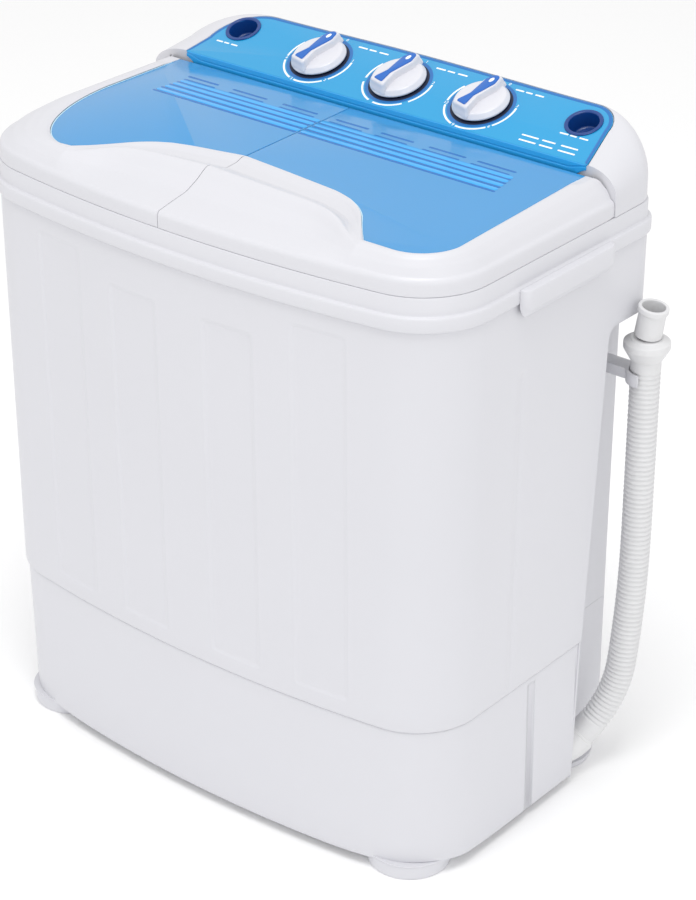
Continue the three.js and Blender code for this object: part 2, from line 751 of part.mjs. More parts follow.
/** The ring that the wash motor stands on. */
function washMotorBracket() {
  const { x, y, bottom } = WASH_MOTOR;
  const low = FOOT_TOP + WALL + GAP;
  const high = bottom - GAP;
  return turned([[20, low], [44, low], [44, high], [20, high], [20, low]], x, y, 16);
}

/** The small pulley with the motor's shaft in it. */
function motorPulley() {
  const { x, y, top } = WASH_MOTOR;
  return join(pulley(x, y, PULLEY.small), post(x, y, top + GAP, PULLEY.z + 10, 7));
}

function pulsatorGearbox() {
  const { x, y, bottom } = WASH_TUB;
  const top = bottom - GAP;
  const profile = [[7.2, 170], [30, 170], [34, 176], [34, 212], [46, 222], [46, top], [7.2, top], [7.2, 170]];
  return turned(profile, x, y, 20);
}

function motor(x, y, { bottom: low, top: high, radius }) {
  return turned([
    [0, low],
    [radius - 6, low],
    [radius, low + 6],
    [radius, high - 12],
    [radius - 8, high - 4],
    [20, high],
    [0, high],
  ], x, y, 20);
}

// ---- spin drive ----

/** A perforated cup, open at the top. */
function spinBasket() {
  const { x, y } = SPIN_TUB;
  const { radius, bottom, top } = BASKET;
  const cup = turned([
    [0, bottom],
    [radius - 12, bottom],
    [radius - 6, bottom + 6],
    [radius - 1, top - 18],
    [radius + 3, top - 16],
    [radius + 3, top],
    [radius - 9, top],
    [radius - 9, top - 10],
    [radius - 3.5, top - 18],
    [radius - 8.5, bottom + 8],
    [radius - 14, bottom + 2.5],
    [0, bottom + 2.5],
  ], x, y, 28);
  const holes = [];
  for (let row = 0; row < 3; row += 1) {
    for (let i = 0; i < 4; i += 1) {
      const hole = rodX(-radius - 10, radius + 10, 0, bottom + 60 + row * 90, 4, 4);
      holes.push(hole.rotateZ(((i + (row % 2) / 2) * Math.PI) / 4).translate(x, y, 0));
    }
  }
  return cut(cup, ...holes);
}

/** One of three rubber posts under the spin motor. */
function spinMotorMount(i) {
  const { bottom, mountCircle, mountRadius } = SPIN_MOTOR;
  const angle = Math.PI / 2 + (i * 2 * Math.PI) / 3;
  const x = SPIN_TUB.x + mountCircle * Math.cos(angle);
  const y = SPIN_TUB.y + mountCircle * Math.sin(angle);
  return post(x, y, FOOT_TOP + WALL + GAP, bottom - GAP, mountRadius);
}

function brakeDrum() {
  const { x, y } = SPIN_TUB;
  return turned([[6.6, 172], [48, 172], [48, 196], [44, 196], [44, 178], [6.6, 178], [6.6, 172]], x, y, 22);
}

/** A bent strip that presses on the brake drum, turning on its own upright pin. */
function brakeLever() {
  const pivotY = SPIN_TUB.y + 62;
  const arm = filleted([[SPIN_TUB.x - 30, pivotY, 5], [SPIN_TUB.x + 70, pivotY, 5], [SPIN_TUB.x + 70, pivotY + 12, 5], [SPIN_TUB.x - 30, pivotY + 12, 5]], 30);
  return loft([ringAt(arm, 180), ringAt(arm, 190)]);
}

// ---- drain ----

function drainValveBody() {
  return turned([[11, 170], [22, 170], [22, 226], [11, 226], [11, 170]], DRAIN.x, DRAIN.y, 24);
}

/** The stopper inside the valve body, with a stem down to its pull. */
function drainPlunger() {
  return turned([[0, 150], [3, 150], [3, 188], [9, 188], [9, 204], [0, 206]], DRAIN.x, DRAIN.y, 16);
}

/** A round bar along a smooth curve through points. */
function tubeAlong(points, radius, steps, sides = 10) {
  const curve = new THREE.CatmullRomCurve3(points.map((p) => new THREE.Vector3(...p)), false, 'centripetal');
  const section = new THREE.Shape(arc(0, 0, radius, 0, 360, sides).slice(0, -1));
  return new THREE.ExtrudeGeometry(section, { steps, bevelEnabled: false, extrudePath: curve });
}

/** Leads from the drain valve to the inside of the hose recess. */
function drainPipe() {
  return tubeAlong([[202, 43, 180], [212, 58, 165], [225, 62, 120], [232, 62, 60], [238, 64, 34]], 9, 10, 8);
}

/** The drain outlet: a short bend standing in the foot of the hose recess. */
function drainElbow() {
  const points = [[266, 84.5, 35], [267.8, 95, 34.6], [270, 104, 35.8], [272.1, 109.4, 38.5], [273.8, 111.7, 41.3]];
  return tubeAlong(points, 12.5, 8, 10);
}

/** The hose's centre line: a bend away from the outlet, a long gentle lean, then upright to its holder. */
function hoseRoute() {
  const [topX, topY, topZ] = HOSE.end;
  const { bendRadius, leanRadius, leanDeg, footDeg, headingDeg } = HOSE;
  const heading = THREE.MathUtils.degToRad(headingDeg);
  const leanStart = topZ - HOSE.uprightLength;
  const along = (outwards, z) => [
    topX - outwards * Math.cos(heading),
    topY - outwards * Math.sin(heading),
    z,
  ];
  const points = [];
  const sin = (deg) => Math.sin(THREE.MathUtils.degToRad(deg));
  const cos = (deg) => Math.cos(THREE.MathUtils.degToRad(deg));
  const leanDrop = leanRadius * sin(leanDeg);
  const leanShift = leanRadius * (1 - cos(leanDeg));
  for (let i = 0; i < 8; i += 1) {
    const deg = footDeg + ((leanDeg - footDeg) * i) / 8;
    const shift = leanShift + bendRadius * (cos(leanDeg) - cos(deg));
    points.push(along(shift, leanStart - leanDrop - bendRadius * (sin(deg) - sin(leanDeg))));
  }
  for (let i = 0; i < 4; i += 1) {
    const deg = leanDeg * (1 - i / 4);
    points.push(along(leanRadius * (1 - cos(deg)), leanStart - leanRadius * sin(deg)));
  }
  for (let i = 0; i <= 4; i += 1) points.push(along(0, leanStart + (HOSE.uprightLength * i) / 4));
  return points;
}

function drainHose() {
  return tubeAlong(hoseRoute(), HOSE.radius, 22, 10);
}

/** A funnel-shaped end piece with a flange, which hangs in the clip. */
function hoseCollar() {
  const [x, y, end] = HOSE.end;
  const low = end + GAP;
  return turned([
    [0, low],
    [HOSE.radius + 1, low],
    [HOSE.collarRadius, low + 12],
    [HOSE.collarRadius, low + 19],
    [HOSE.radius + 1, low + 22],
    [0, low + 22],
  ], x, y, 20);
}

/** The smooth open end of the hose, leaning out over its collar. */
function hoseNozzle() {
  const length = 32;
  const bore = 11;
  const rim = 15;
  const nozzle = turned([
    [0, 0],
    [rim - 1.5, 0],
    [rim - 1.5, length - 6],
    [rim, length - 6],
    [rim, length],
    [bore, length],
    [bore, 6],
    [0, 6],
  ], 0, 0, 18);
  const [x, y, end] = HOSE.end;
  const lean = THREE.MathUtils.degToRad(9);
  return nozzle.rotateY(lean).translate(x + 0.5, y, end + 25.2);
}

/** A bracket on the recess wall, ending in a half ring behind the hose. */
function hoseClip() {
  const [x, y] = HOSE.end;
  const low = 438;
  const high = 450;
  const stem = box([HOSE_NOTCH.innerX + GAP, y - 9, low], [x - HOSE.radius - 1.5, y + 9, high]);
  const ring = post(x, y, low, high, HOSE.radius + 4, HOSE.radius + 4, 20);
  const bore = post(x, y, low - 5, high + 5, HOSE.radius + 1, HOSE.radius + 1, 20);
  const openSide = box([x - 3, y - 40, low - 5], [x + 40, y + 40, high + 5]);
  return cut(join(stem, ring), bore, openSide);
}

function cableGland() {
  const gland = turned([[0, 0], [10, 0], [10, 2], [6, 3], [5, 7], [0, 7]], 0, 0, 20);
  return gland.rotateX(-Math.PI / 2).translate(-225, BODY.halfDepth - 6.8, 90);
}

// ---- the assembly ----

const washer = new THREE.Group();

function add(name, geometry, look) {
  const mesh = new THREE.Mesh(geometry, look);
  mesh.name = name;
  washer.add(mesh);
}

add('base_shell', baseShell(), WHITE);
add('cabinet_shell', cabinetShell(), WHITE);
add('top_deck', topDeck(), WHITE);
add('control_housing', controlHousing(), WHITE);
add('control_panel', controlPanel(), PANEL_BLUE);
add('back_cover', backCover(), WHITE);
add('wash_tub', washTub(), WHITE);
add('spin_outer_tub', spinOuterTub(), WHITE);
add('carry_grip_left', carryGrip(-1), WHITE);
add('carry_grip_right', carryGrip(1), WHITE);
add('cable_gland', cableGland(), RUBBER);

for (const [row, y] of [['front', FOOT.frontY], ['rear', FOOT.rearY]]) {
  add(`foot_${row}_left`, foot(-FOOT.x, y), WHITE);
  add(`foot_${row}_right`, foot(FOOT.x, y), WHITE);
}

['left', 'centre', 'right'].forEach((place, i) => add(`hinge_lug_${place}`, hingeLug(HINGE_LUG_X[i]), WHITE));
for (const [name, side] of [['wash_lid', 1], ['spin_lid', -1]]) {
  add(`${name}_frame`, lidFrame(side), WHITE);
  add(`${name}_window`, lidWindow(side), BLUE);
  add(`${name}_hinge_rod`, lidRod(side), STEEL);
}

const CONTROLS = [
  { name: 'wash_timer', x: KNOB_X[2] },
  { name: 'drain_selector', x: KNOB_X[1] },
  { name: 'spin_timer', x: KNOB_X[0] },
];
for (const { name, x } of CONTROLS) {
  add(`${name}_knob`, knob(x), WHITE);
  add(`${name}_knob_inlay`, knobInsert(x), PANEL_BLUE);
  add(`${name}_body`, timerBody(x), GREY_PLASTIC);
}
add('water_inlet_left', waterInlet(-1), INLET_BLUE);
add('water_inlet_right', waterInlet(1), INLET_BLUE);

add('wash_motor', motor(WASH_MOTOR.x, WASH_MOTOR.y, WASH_MOTOR), STEEL);
add('wash_motor_bracket', washMotorBracket(), STEEL);
add('motor_pulley', motorPulley(), GREY_PLASTIC);
add('drive_belt', driveBelt(), RUBBER);
add('pulsator', pulsator(), PANEL_BLUE);
add('pulsator_shaft', post(WASH_TUB.x, WASH_TUB.y, 118, WASH_TUB.bottom + 5.7, 6), STEEL);
add('pulsator_pulley', pulley(WASH_TUB.x, WASH_TUB.y, PULLEY.large), GREY_PLASTIC);
add('pulsator_gearbox', pulsatorGearbox(), STEEL);
add('lint_filter', box([82, 55, 450], [162, 66, 580]), GREY_PLASTIC);

add('spin_motor', motor(SPIN_TUB.x, SPIN_TUB.y, SPIN_MOTOR), STEEL);
for (let i = 0; i < 3; i += 1) add(`spin_motor_mount_${i + 1}`, spinMotorMount(i), RUBBER);
add('spin_shaft', post(SPIN_TUB.x, SPIN_TUB.y, 151, BASKET.bottom - GAP, 6), STEEL);
add('brake_drum', brakeDrum(), STEEL);
add('brake_lever', brakeLever(), STEEL);
add('spin_basket', spinBasket(), STEEL);

add('drain_valve_body', drainValveBody(), GREY_PLASTIC);
add('drain_plunger', drainPlunger(), RUBBER);
add('drain_pipe', drainPipe(), GREY_PLASTIC);
add('drain_elbow', drainElbow(), WHITE);
add('hose_clip', hoseClip(), WHITE);
add('drain_hose', drainHose(), HOSE_WHITE);
add('hose_collar', hoseCollar(), HOSE_WHITE);
add('hose_nozzle', hoseNozzle(), HOSE_WHITE);

export default washer;
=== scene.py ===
"""Looks of the portable twin-tub washer, built around the CAD frame. Metres, +Z up, front towards -Y."""

import math

import bmesh
import bpy
import numpy as np
from mathutils import Matrix, Vector


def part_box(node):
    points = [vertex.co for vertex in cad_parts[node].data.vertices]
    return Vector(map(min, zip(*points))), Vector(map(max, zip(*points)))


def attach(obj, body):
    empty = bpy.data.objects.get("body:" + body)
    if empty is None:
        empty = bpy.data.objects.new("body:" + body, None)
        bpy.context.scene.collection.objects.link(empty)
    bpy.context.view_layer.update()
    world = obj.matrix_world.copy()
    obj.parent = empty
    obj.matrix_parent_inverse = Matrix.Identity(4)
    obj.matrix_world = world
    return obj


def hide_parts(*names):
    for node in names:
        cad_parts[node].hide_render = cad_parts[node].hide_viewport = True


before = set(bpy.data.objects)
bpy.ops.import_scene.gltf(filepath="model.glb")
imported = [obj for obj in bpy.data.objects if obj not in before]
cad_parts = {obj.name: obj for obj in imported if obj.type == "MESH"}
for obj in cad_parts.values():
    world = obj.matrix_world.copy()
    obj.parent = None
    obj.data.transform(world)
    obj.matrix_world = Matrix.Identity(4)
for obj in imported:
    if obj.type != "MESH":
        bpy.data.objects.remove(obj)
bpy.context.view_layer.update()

MM = 0.001

# ---- camera: the photograph's viewing angle ----

AZIMUTH = 39.3
ELEVATION = 27.84
DISTANCE = 2693
LOOK_AT_HEIGHT = 300
FRAME_RIGHT = 43.4  # how far the picture's middle lies to the right of the body's axis
FRAME_UP = 20.4
LENS = 106.67


def add_camera():
    azimuth = math.radians(AZIMUTH)
    elevation = math.radians(ELEVATION)
    back = Vector((
        math.sin(azimuth) * math.cos(elevation),
        -math.cos(azimuth) * math.cos(elevation),
        math.sin(elevation),
    ))
    right = Vector((math.cos(azimuth), math.sin(azimuth), 0))
    up = back.cross(right)
    target = Vector((0, 0, LOOK_AT_HEIGHT)) + FRAME_RIGHT * right + FRAME_UP * up
    data = bpy.data.cameras.new("camera")
    data.lens = LENS
    data.sensor_width = 36
    camera = bpy.data.objects.new("camera", data)
    bpy.context.scene.collection.objects.link(camera)
    turn = Matrix((right, up, back)).transposed().to_4x4()
    camera.matrix_world = Matrix.Translation((target + DISTANCE * back) * MM) @ turn
    bpy.context.scene.camera = camera


add_camera()

# ---- sizes read from the frame, in millimetres ----


def box_mm(node):
    low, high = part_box(node)
    return Vector(low) / MM, Vector(high) / MM


def middle_mm(node):
    low, high = box_mm(node)
    return (low + high) / 2


DECK_LOW, DECK_HIGH = box_mm("top_deck")
CABINET_LOW, CABINET_HIGH = box_mm("cabinet_shell")
BASE_LOW, BASE_HIGH = box_mm("base_shell")
HALF_WIDTH = DECK_HIGH.x
HALF_DEPTH = DECK_HIGH.y

FRONT_RADIUS = 1500
CORNER_RADIUS = 77
BACK_RADIUS = 32
WALL = 3
FILLET_STEPS = 6

# ---- mesh helpers ----


def arc(cx, cy, radius, from_deg, to_deg, steps):
    angles = np.radians(np.linspace(from_deg, to_deg, steps + 1))
    return np.c_[cx + radius * np.cos(angles), cy + radius * np.sin(angles)]


def new_object(name, mesh):
    thing = bpy.data.objects.new(name, mesh)
    bpy.context.scene.collection.objects.link(thing)
    return thing


def mesh_object(name, points, faces, smooth_deg=35):
    """A mesh object from points in millimetres."""
    mesh = bpy.data.meshes.new(name)
    mesh.from_pydata((np.asarray(points, float) * MM).tolist(), [], [list(f) for f in faces])
    mesh.validate()
    thing = new_object(name, mesh)
    tidy_normals(thing)
    smooth(thing, smooth_deg)
    return thing


def tidy_normals(thing):
    work = bmesh.new()
    work.from_mesh(thing.data)
    bmesh.ops.remove_doubles(work, verts=work.verts, dist=1e-6)
    bmesh.ops.recalc_face_normals(work, faces=work.faces)
    work.to_mesh(thing.data)
    work.free()


def smooth(thing, degrees=35):
    for polygon in thing.data.polygons:
        polygon.use_smooth = True
    thing.data.set_sharp_from_angle(angle=math.radians(degrees))


def loft(rings, caps=True, loop=False):
    """Points and faces through rings of equal length."""
    count = len(rings[0])
    points = np.concatenate(rings)
    faces = []
    bands = len(rings) if loop else len(rings) - 1
    for r in range(bands):
        low = r * count
        high = ((r + 1) % len(rings)) * count
        for i in range(count):
            j = (i + 1) % count
            faces.append((low + i, low + j, high + j, high + i))
    if caps and not loop:
        last = (len(rings) - 1) * count
        faces.append(tuple(range(count - 1, -1, -1)))
        faces.append(tuple(range(last, last + count)))
    return points, faces


def joined(parts):
    """One list of points and one of faces from several pairs of them."""
    points = []
    faces = []
    for part_points, part_faces in parts:
        offset = sum(len(p) for p in points)
        points.append(part_points)
        faces += [tuple(i + offset for i in face) for face in part_faces]
    return np.concatenate(points), faces


def mirrored(points, side):
    """The points as they are for side 1, and mirrored to the left for side -1."""
    return np.asarray(points, float) * (side, 1, 1)


def lofted(name, rings, smooth_deg=35, side=1, **options):
    """A mesh object through rings of equal length."""
    points, faces = loft(rings, **options)
    return mesh_object(name, mirrored(points, side), faces, smooth_deg)


def lifted(outline, height):
    """A plan outline raised to a height, or to a height worked out at each point."""
    z = height(outline) if callable(height) else np.full(len(outline), float(height))
    return np.c_[outline, z]


def turned(name, profile, centre=(0, 0), sides=96, smooth_deg=35):
    """A solid of revolution about Z from (radius, height) pairs; ends on the axis close by themselves."""
    angles = np.linspace(0, 2 * math.pi, sides, endpoint=False)
    x, y = centre
    rings = [lifted(np.c_[x + r * np.cos(angles), y + r * np.sin(angles)], height) for r, height in profile]
    if np.allclose(profile[0], profile[-1]):
        return lofted(name, rings[:-1], smooth_deg, loop=True)
    return lofted(name, rings, smooth_deg, caps=False)


def filleted(corners, closed=False):
    """An outline through (a, b, fillet) corners; an open one keeps its two ends as they are."""
    out = []
    count = len(corners)
    for i, (a, b, fillet) in enumerate(corners):
        here = np.array([a, b], float)
        if not fillet or (i in (0, count - 1) and not closed):
            out.append(here)
            continue
        before = np.array(corners[i - 1][:2], float) - here
        after = np.array(corners[(i + 1) % count][:2], float) - here
        before_length = np.linalg.norm(before)
        after_length = np.linalg.norm(after)
        half = math.acos(np.clip(before @ after / before_length / after_length, -1, 1)) / 2
        reach = min(fillet / math.tan(half), 0.49 * before_length, 0.49 * after_length)
        start = here + before / before_length * reach
        end = here + after / after_length * reach
        for t in np.linspace(0, 1, FILLET_STEPS + 1):
            out.append((1 - t) ** 2 * start + 2 * t * (1 - t) * here + t * t * end)
    return np.array(out)


def apply_modifiers(thing):
    """Swaps the object's mesh for the result of its modifiers."""
    bpy.context.view_layer.update()
    graph = bpy.context.evaluated_depsgraph_get()
    mesh = bpy.data.meshes.new_from_object(thing.evaluated_get(graph))
    thing.modifiers.clear()
    thing.data = mesh


def combine(thing, others, operation):
    """Cuts the others away from a mesh object, or joins them to it, and deletes them."""
    for other in others:
        modifier = thing.modifiers.new("combine", "BOOLEAN")
        modifier.operation = operation
        modifier.solver = "EXACT"
        modifier.object = other
    apply_modifiers(thing)
    for other in others:
        bpy.data.objects.remove(other)


def cut(thing, *cutters, smooth_deg=35):
    combine(thing, cutters, "DIFFERENCE")
    smooth(thing, smooth_deg)


def fuse(thing, other):
    combine(thing, [other], "UNION")


def bevel(thing, width, segments):
    modifier = thing.modifiers.new("soft_edges", "BEVEL")
    modifier.width = width * MM
    modifier.segments = segments
    modifier.limit_method = "ANGLE"
    modifier.angle_limit = math.radians(40)
    modifier.harden_normals = True
    apply_modifiers(thing)


def box_object(name, low, high):
    corners = [(x, y, z) for x in (low[0], high[0]) for y in (low[1], high[1]) for z in (low[2], high[2])]
    faces = [(0, 1, 3, 2), (4, 6, 7, 5), (0, 4, 5, 1), (2, 3, 7, 6), (0, 2, 6, 4), (1, 5, 7, 3)]
    return mesh_object(name, corners, faces, 30)


def prism_along_x(name, outline_yz, from_x, to_x):
    outline = np.asarray(outline_yz, float)
    rings = [np.c_[np.full(len(outline), x), outline] for x in (from_x, to_x)]
    return lofted(name, rings, 30)


def smoothstep(value):
    t = np.clip(value, 0, 1)
    return t * t * (3 - 2 * t)


# ---- materials ----


def colour(*screen):
    """Screen colour, 0 to 255, as linear light."""
    shares = [c / 255 for c in screen]
    return tuple(c / 12.92 if c <= 0.04045 else ((c + 0.055) / 1.055) ** 2.4 for c in shares) + (1,)


def plastic(name, shade, roughness, grain_scale=900, grain=0.03, mottle=0.015, transmission=0.0, coat=0.0):
    """Moulded plastic: faint cloudy colour, fine surface grain and uneven gloss."""
    material = bpy.data.materials.new(name)
    material.use_nodes = True
    tree = material.node_tree
    nodes = tree.nodes
    links = tree.links
    shader = nodes["Principled BSDF"]
    shader.inputs["Roughness"].default_value = roughness
    shader.inputs["IOR"].default_value = 1.5
    shader.inputs["Transmission Weight"].default_value = transmission
    shader.inputs["Coat Weight"].default_value = coat
    shader.inputs["Coat Roughness"].default_value = 0.12
    place = nodes.new("ShaderNodeTexCoord")

    def noise(scale, detail):
        texture = nodes.new("ShaderNodeTexNoise")
        texture.inputs["Scale"].default_value = scale
        texture.inputs["Detail"].default_value = detail
        links.new(place.outputs["Object"], texture.inputs["Vector"])
        return texture.outputs["Fac"]

    cloud = noise(7, 5)
    tint = nodes.new("ShaderNodeMix")
    tint.data_type = "RGBA"
    links.new(cloud, tint.inputs["Factor"])
    tint.inputs[6].default_value = tuple(c * (1 - mottle) for c in shade[:3]) + (1,)
    tint.inputs[7].default_value = tuple(min(1, c * (1 + mottle)) for c in shade[:3]) + (1,)
    links.new(tint.outputs[2], shader.inputs["Base Color"])
    gloss = nodes.new("ShaderNodeMapRange")
    gloss.inputs["To Min"].default_value = roughness * 0.9
    gloss.inputs["To Max"].default_value = roughness * 1.12
    links.new(cloud, gloss.inputs["Value"])
    links.new(gloss.outputs["Result"], shader.inputs["Roughness"])
    bump = nodes.new("ShaderNodeBump")
    bump.inputs["Strength"].default_value = grain
    bump.inputs["Distance"].default_value = 0.0006
    links.new(noise(grain_scale, 3), bump.inputs["Height"])
    links.new(bump.outputs["Normal"], shader.inputs["Normal"])
    return material


def metal(name, shade, roughness):
    """Plain sheet steel: fine brushed streaks and uneven polish."""
    material = plastic(name, shade, roughness, grain_scale=300, grain=0.08, mottle=0.08)
    material.node_tree.nodes["Principled BSDF"].inputs["Metallic"].default_value = 1
    return material


WHITE = plastic("white_plastic", colour(210, 210, 215), 0.4, grain=0.05, coat=0.08)
WHITE_GLOSS = plastic("white_gloss_plastic", colour(216, 216, 222), 0.24, grain=0.02, coat=0.2)
TUB_WHITE = plastic("tub_plastic", colour(222, 225, 232), 0.3, grain=0.03)
CLEAR_BLUE = plastic(
    "clear_blue_plastic", colour(78, 170, 233), 0.12, grain=0.01, transmission=0.3, coat=0.15,
)
PANEL_BLUE = plastic("panel_blue_plastic", colour(32, 153, 207), 0.26, grain=0.02, coat=0.3)
INLET_BLUE = plastic("inlet_blue_plastic", colour(8, 58, 128), 0.3, grain=0.02, coat=0.2)
RIB_BLUE = plastic("rib_blue_plastic", colour(54, 166, 236), 0.2, grain=0.02, coat=0.2)
GROOVE_BLUE = plastic("groove_blue_plastic", colour(20, 106, 182), 0.2, grain=0.02, coat=0.2)
KNOB_BLUE = plastic("knob_blue_plastic", colour(22, 98, 186), 0.3, grain=0.02, coat=0.2)
# the panel rim's darker blue, also used round each knob as painted shade
RIM_AND_SHADE_BLUE = plastic("rim_and_painted_shade_blue", colour(28, 108, 180), 0.3, grain=0.02, coat=0.2)
RISER_BLUE = plastic("riser_blue_plastic", colour(44, 160, 222), 0.25, grain=0.02, coat=0.2)
# pale cyan: a painted highlight along the windows' front edges
WINDOW_HIGHLIGHT_BLUE = plastic("painted_window_highlight_plastic", colour(186, 222, 238), 0.15, grain=0.01, coat=0.3)
# near-black blue: painted shadow under each knob's skirt
PAINTED_SKIRT_SHADE_BLUE = plastic("painted_skirt_shade_plastic", colour(10, 22, 52), 0.5, grain=0.02)
PRINT_WHITE = plastic("print_white", colour(244, 248, 250), 0.5, grain=0.01)
HOSE_PLASTIC = plastic("hose_plastic", colour(218, 218, 219), 0.5, grain=0.06)
RUBBER = plastic("black_rubber", colour(34, 34, 36), 0.75, grain=0.2, mottle=0.1)
GREY = plastic("grey_plastic", colour(150, 154, 158), 0.5, grain=0.1)
STEEL = metal("plain_steel", colour(176, 178, 182), 0.35)

ALL_LOOKS = {
    "white_plastic": WHITE,
    "clear_blue_plastic": CLEAR_BLUE,
    "panel_blue_plastic": PANEL_BLUE,
    "inlet_blue_plastic": INLET_BLUE,
    "hose_plastic": HOSE_PLASTIC,
    "black_rubber": RUBBER,
    "plain_steel": STEEL,
    "grey_plastic": GREY,
}


def dress(thing, material):
    thing.data.materials.clear()
    thing.data.materials.append(material)


def piece(thing, material, body, slot, *replaced):
    """Gives a finished piece its material and its body, and hides the CAD nodes it stands for; its slot is
    not used.
    """
    dress(thing, material)
    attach(thing, body)
    if replaced:
        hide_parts(*replaced)


# ---- the drain hose ----

HOSE_END = (*middle_mm("hose_collar").xy, box_mm("drain_hose")[1].z)
HOSE_HEADING = math.radians(53.6)  # plan direction in which the hose leaves the outlet
HOSE_UPRIGHT = 190.4
HOSE_LEAN_RADIUS = 1432
HOSE_LEAN_DEG = 6
HOSE_BEND_RADIUS = 130
HOSE_FOOT_DEG = 46
HOSE_RADIUS = 15
HOSE_BORE = 10.5
RIB_PITCH = 5.2
RIB_DEPTH = 1.7
SHOW_RIBS_FROM = 16


def hose_route():
    """The hose's centre line: a bend away from the outlet, a long gentle lean, then upright to its holder."""
    top_x, top_y, top_z = HOSE_END
    lean_start = top_z - HOSE_UPRIGHT
    lean = math.radians(HOSE_LEAN_DEG)

    def along(outwards, z):
        return (top_x - outwards * math.cos(HOSE_HEADING), top_y - outwards * math.sin(HOSE_HEADING), z)

    points = []
    lean_shift = HOSE_LEAN_RADIUS * (1 - math.cos(lean))
    lean_drop = HOSE_LEAN_RADIUS * math.sin(lean)
    for angle in np.radians(np.linspace(HOSE_FOOT_DEG, HOSE_LEAN_DEG, 9))[:-1]:
        shift = lean_shift + HOSE_BEND_RADIUS * (math.cos(lean) - math.cos(angle))
        drop = lean_drop + HOSE_BEND_RADIUS * (math.sin(angle) - math.sin(lean))
        points.append(along(shift, lean_start - drop))
    for angle in np.radians(np.linspace(HOSE_LEAN_DEG, 0, 5))[:-1]:
        shift = HOSE_LEAN_RADIUS * (1 - math.cos(angle))
        drop = HOSE_LEAN_RADIUS * math.sin(angle)
        points.append(along(shift, lean_start - drop))
    return points + [along(0, z) for z in np.linspace(lean_start, top_z, 5)]


def smooth_route(points, steps):
    """A centripetal Catmull-Rom curve through the route, with points at even distances."""
    pts = [np.array(p, float) for p in points]
    pts = [2 * pts[0] - pts[1]] + pts + [2 * pts[-1] - pts[-2]]
    dense = []
    for i in range(1, len(pts) - 2):
        p0, p1, p2, p3 = pts[i - 1 : i + 3]
        t0 = 0.0
        t1 = t0 + math.sqrt(np.linalg.norm(p1 - p0))
        t2 = t1 + math.sqrt(np.linalg.norm(p2 - p1))
        t3 = t2 + math.sqrt(np.linalg.norm(p3 - p2))
        for t in np.linspace(t1, t2, 24, endpoint=False):
            a1 = (t1 - t) / (t1 - t0) * p0 + (t - t0) / (t1 - t0) * p1
            a2 = (t2 - t) / (t2 - t1) * p1 + (t - t1) / (t2 - t1) * p2
            a3 = (t3 - t) / (t3 - t2) * p2 + (t - t2) / (t3 - t2) * p3
            b1 = (t2 - t) / (t2 - t0) * a1 + (t - t0) / (t2 - t0) * a2
            b2 = (t3 - t) / (t3 - t1) * a2 + (t - t1) / (t3 - t1) * a3
            dense.append((t2 - t) / (t2 - t1) * b1 + (t - t1) / (t2 - t1) * b2)
    dense.append(pts[-2])
    dense = np.array(dense)
    run = np.r_[0, np.cumsum(np.linalg.norm(np.diff(dense, axis=0), axis=1))]
    even = np.linspace(0, run[-1], steps + 1)
    return np.c_[[np.interp(even, run, dense[:, k]) for k in range(3)]].T, even


def tube_rings(path, radii, sides):
    """Rings square to a path, turned as little as possible from one to the next."""
    tangents = np.gradient(path, axis=0)
    tangents /= np.linalg.norm(tangents, axis=1)[:, None]
    side = np.cross(tangents[0], [1.0, 0, 0])
    side /= np.linalg.norm(side)
    angles = np.linspace(0, 2 * math.pi, sides, endpoint=False)
    rings = []
    for centre, tangent, radius in zip(path, tangents, radii):
        side = side - tangent * (side @ tangent)
        side /= np.linalg.norm(side)
        other = np.cross(tangent, side)
        rings.append(centre + radius * (np.outer(np.cos(angles), side) + np.outer(np.sin(angles), other)))
    return rings


def drain_hose():
    samples_per_rib = 8
    length = smooth_route(hose_route(), 10)[1][-1]
    steps = int(length / RIB_PITCH * samples_per_rib)
    path, run = smooth_route(hose_route(), steps)
    wave = 0.5 + 0.5 * np.cos(2 * math.pi * run / RIB_PITCH)
    ribbed = smoothstep((run - SHOW_RIBS_FROM) / 4) * smoothstep((length - 10 - run) / 4)
    radii = HOSE_RADIUS - RIB_DEPTH * (1 - wave**0.7) * ribbed
    outside = tube_rings(path, radii, 40)
    inside = tube_rings(path, np.full(len(path), float(HOSE_BORE)), 40)[::-1]
    hose = lofted("ribbed_drain_hose", outside + inside, 60, loop=True)
    piece(hose, HOSE_PLASTIC, "cabinet", "hose_plastic", "drain_hose")
    return hose, path, length


def hose_end():
    """The funnel collar and the smooth nozzle that leans out over it."""
    x, y, end = HOSE_END
    low = end + 0.3
    collar = turned("hose_funnel_collar", filleted([
        (HOSE_BORE, low, 0),
        (16, low, 1.5),
        (22.8, low + 12, 3),
        (22.8, low + 18.5, 1.5),
        (17, low + 21, 2),
        (16, low + 22, 0.5),
        (HOSE_BORE, low + 22, 0),
        (HOSE_BORE, low, 0),
    ]), (x, y), 72)
    piece(collar, HOSE_PLASTIC, "cabinet", "hose_plastic", "hose_collar")
    nozzle = turned("hose_open_nozzle", filleted([
        (11.2, 0, 0),
        (13.6, 0, 0.6),
        (13.4, 25, 1),
        (15, 26.5, 0.8),
        (15, 31.6, 1.2),
        (11.4, 32, 1.2),
        (11.2, 0, 0),
    ]), (0, 0), 72)
    lean = Matrix.Rotation(math.radians(9), 4, "Y")
    nozzle.data.transform(Matrix.Translation(Vector((x + 0.5, y, end + 25.2)) * MM) @ lean)
    piece(nozzle, HOSE_PLASTIC, "cabinet", "hose_plastic", "hose_nozzle")
    return [collar, nozzle]


hose, hose_path, hose_length = drain_hose()
hose_end()

# ---- the body's plan outline ----


def front_corner():
    x = HALF_WIDTH - CORNER_RADIUS
    reach = FRONT_RADIUS - CORNER_RADIUS
    y = FRONT_RADIUS - HALF_DEPTH - math.sqrt(reach * reach - x * x)
    return x, y, math.degrees(math.asin(x / reach))


def front_y(x, inset):
    radius = FRONT_RADIUS - inset
    return FRONT_RADIUS - HALF_DEPTH - np.sqrt(radius * radius - np.square(x))


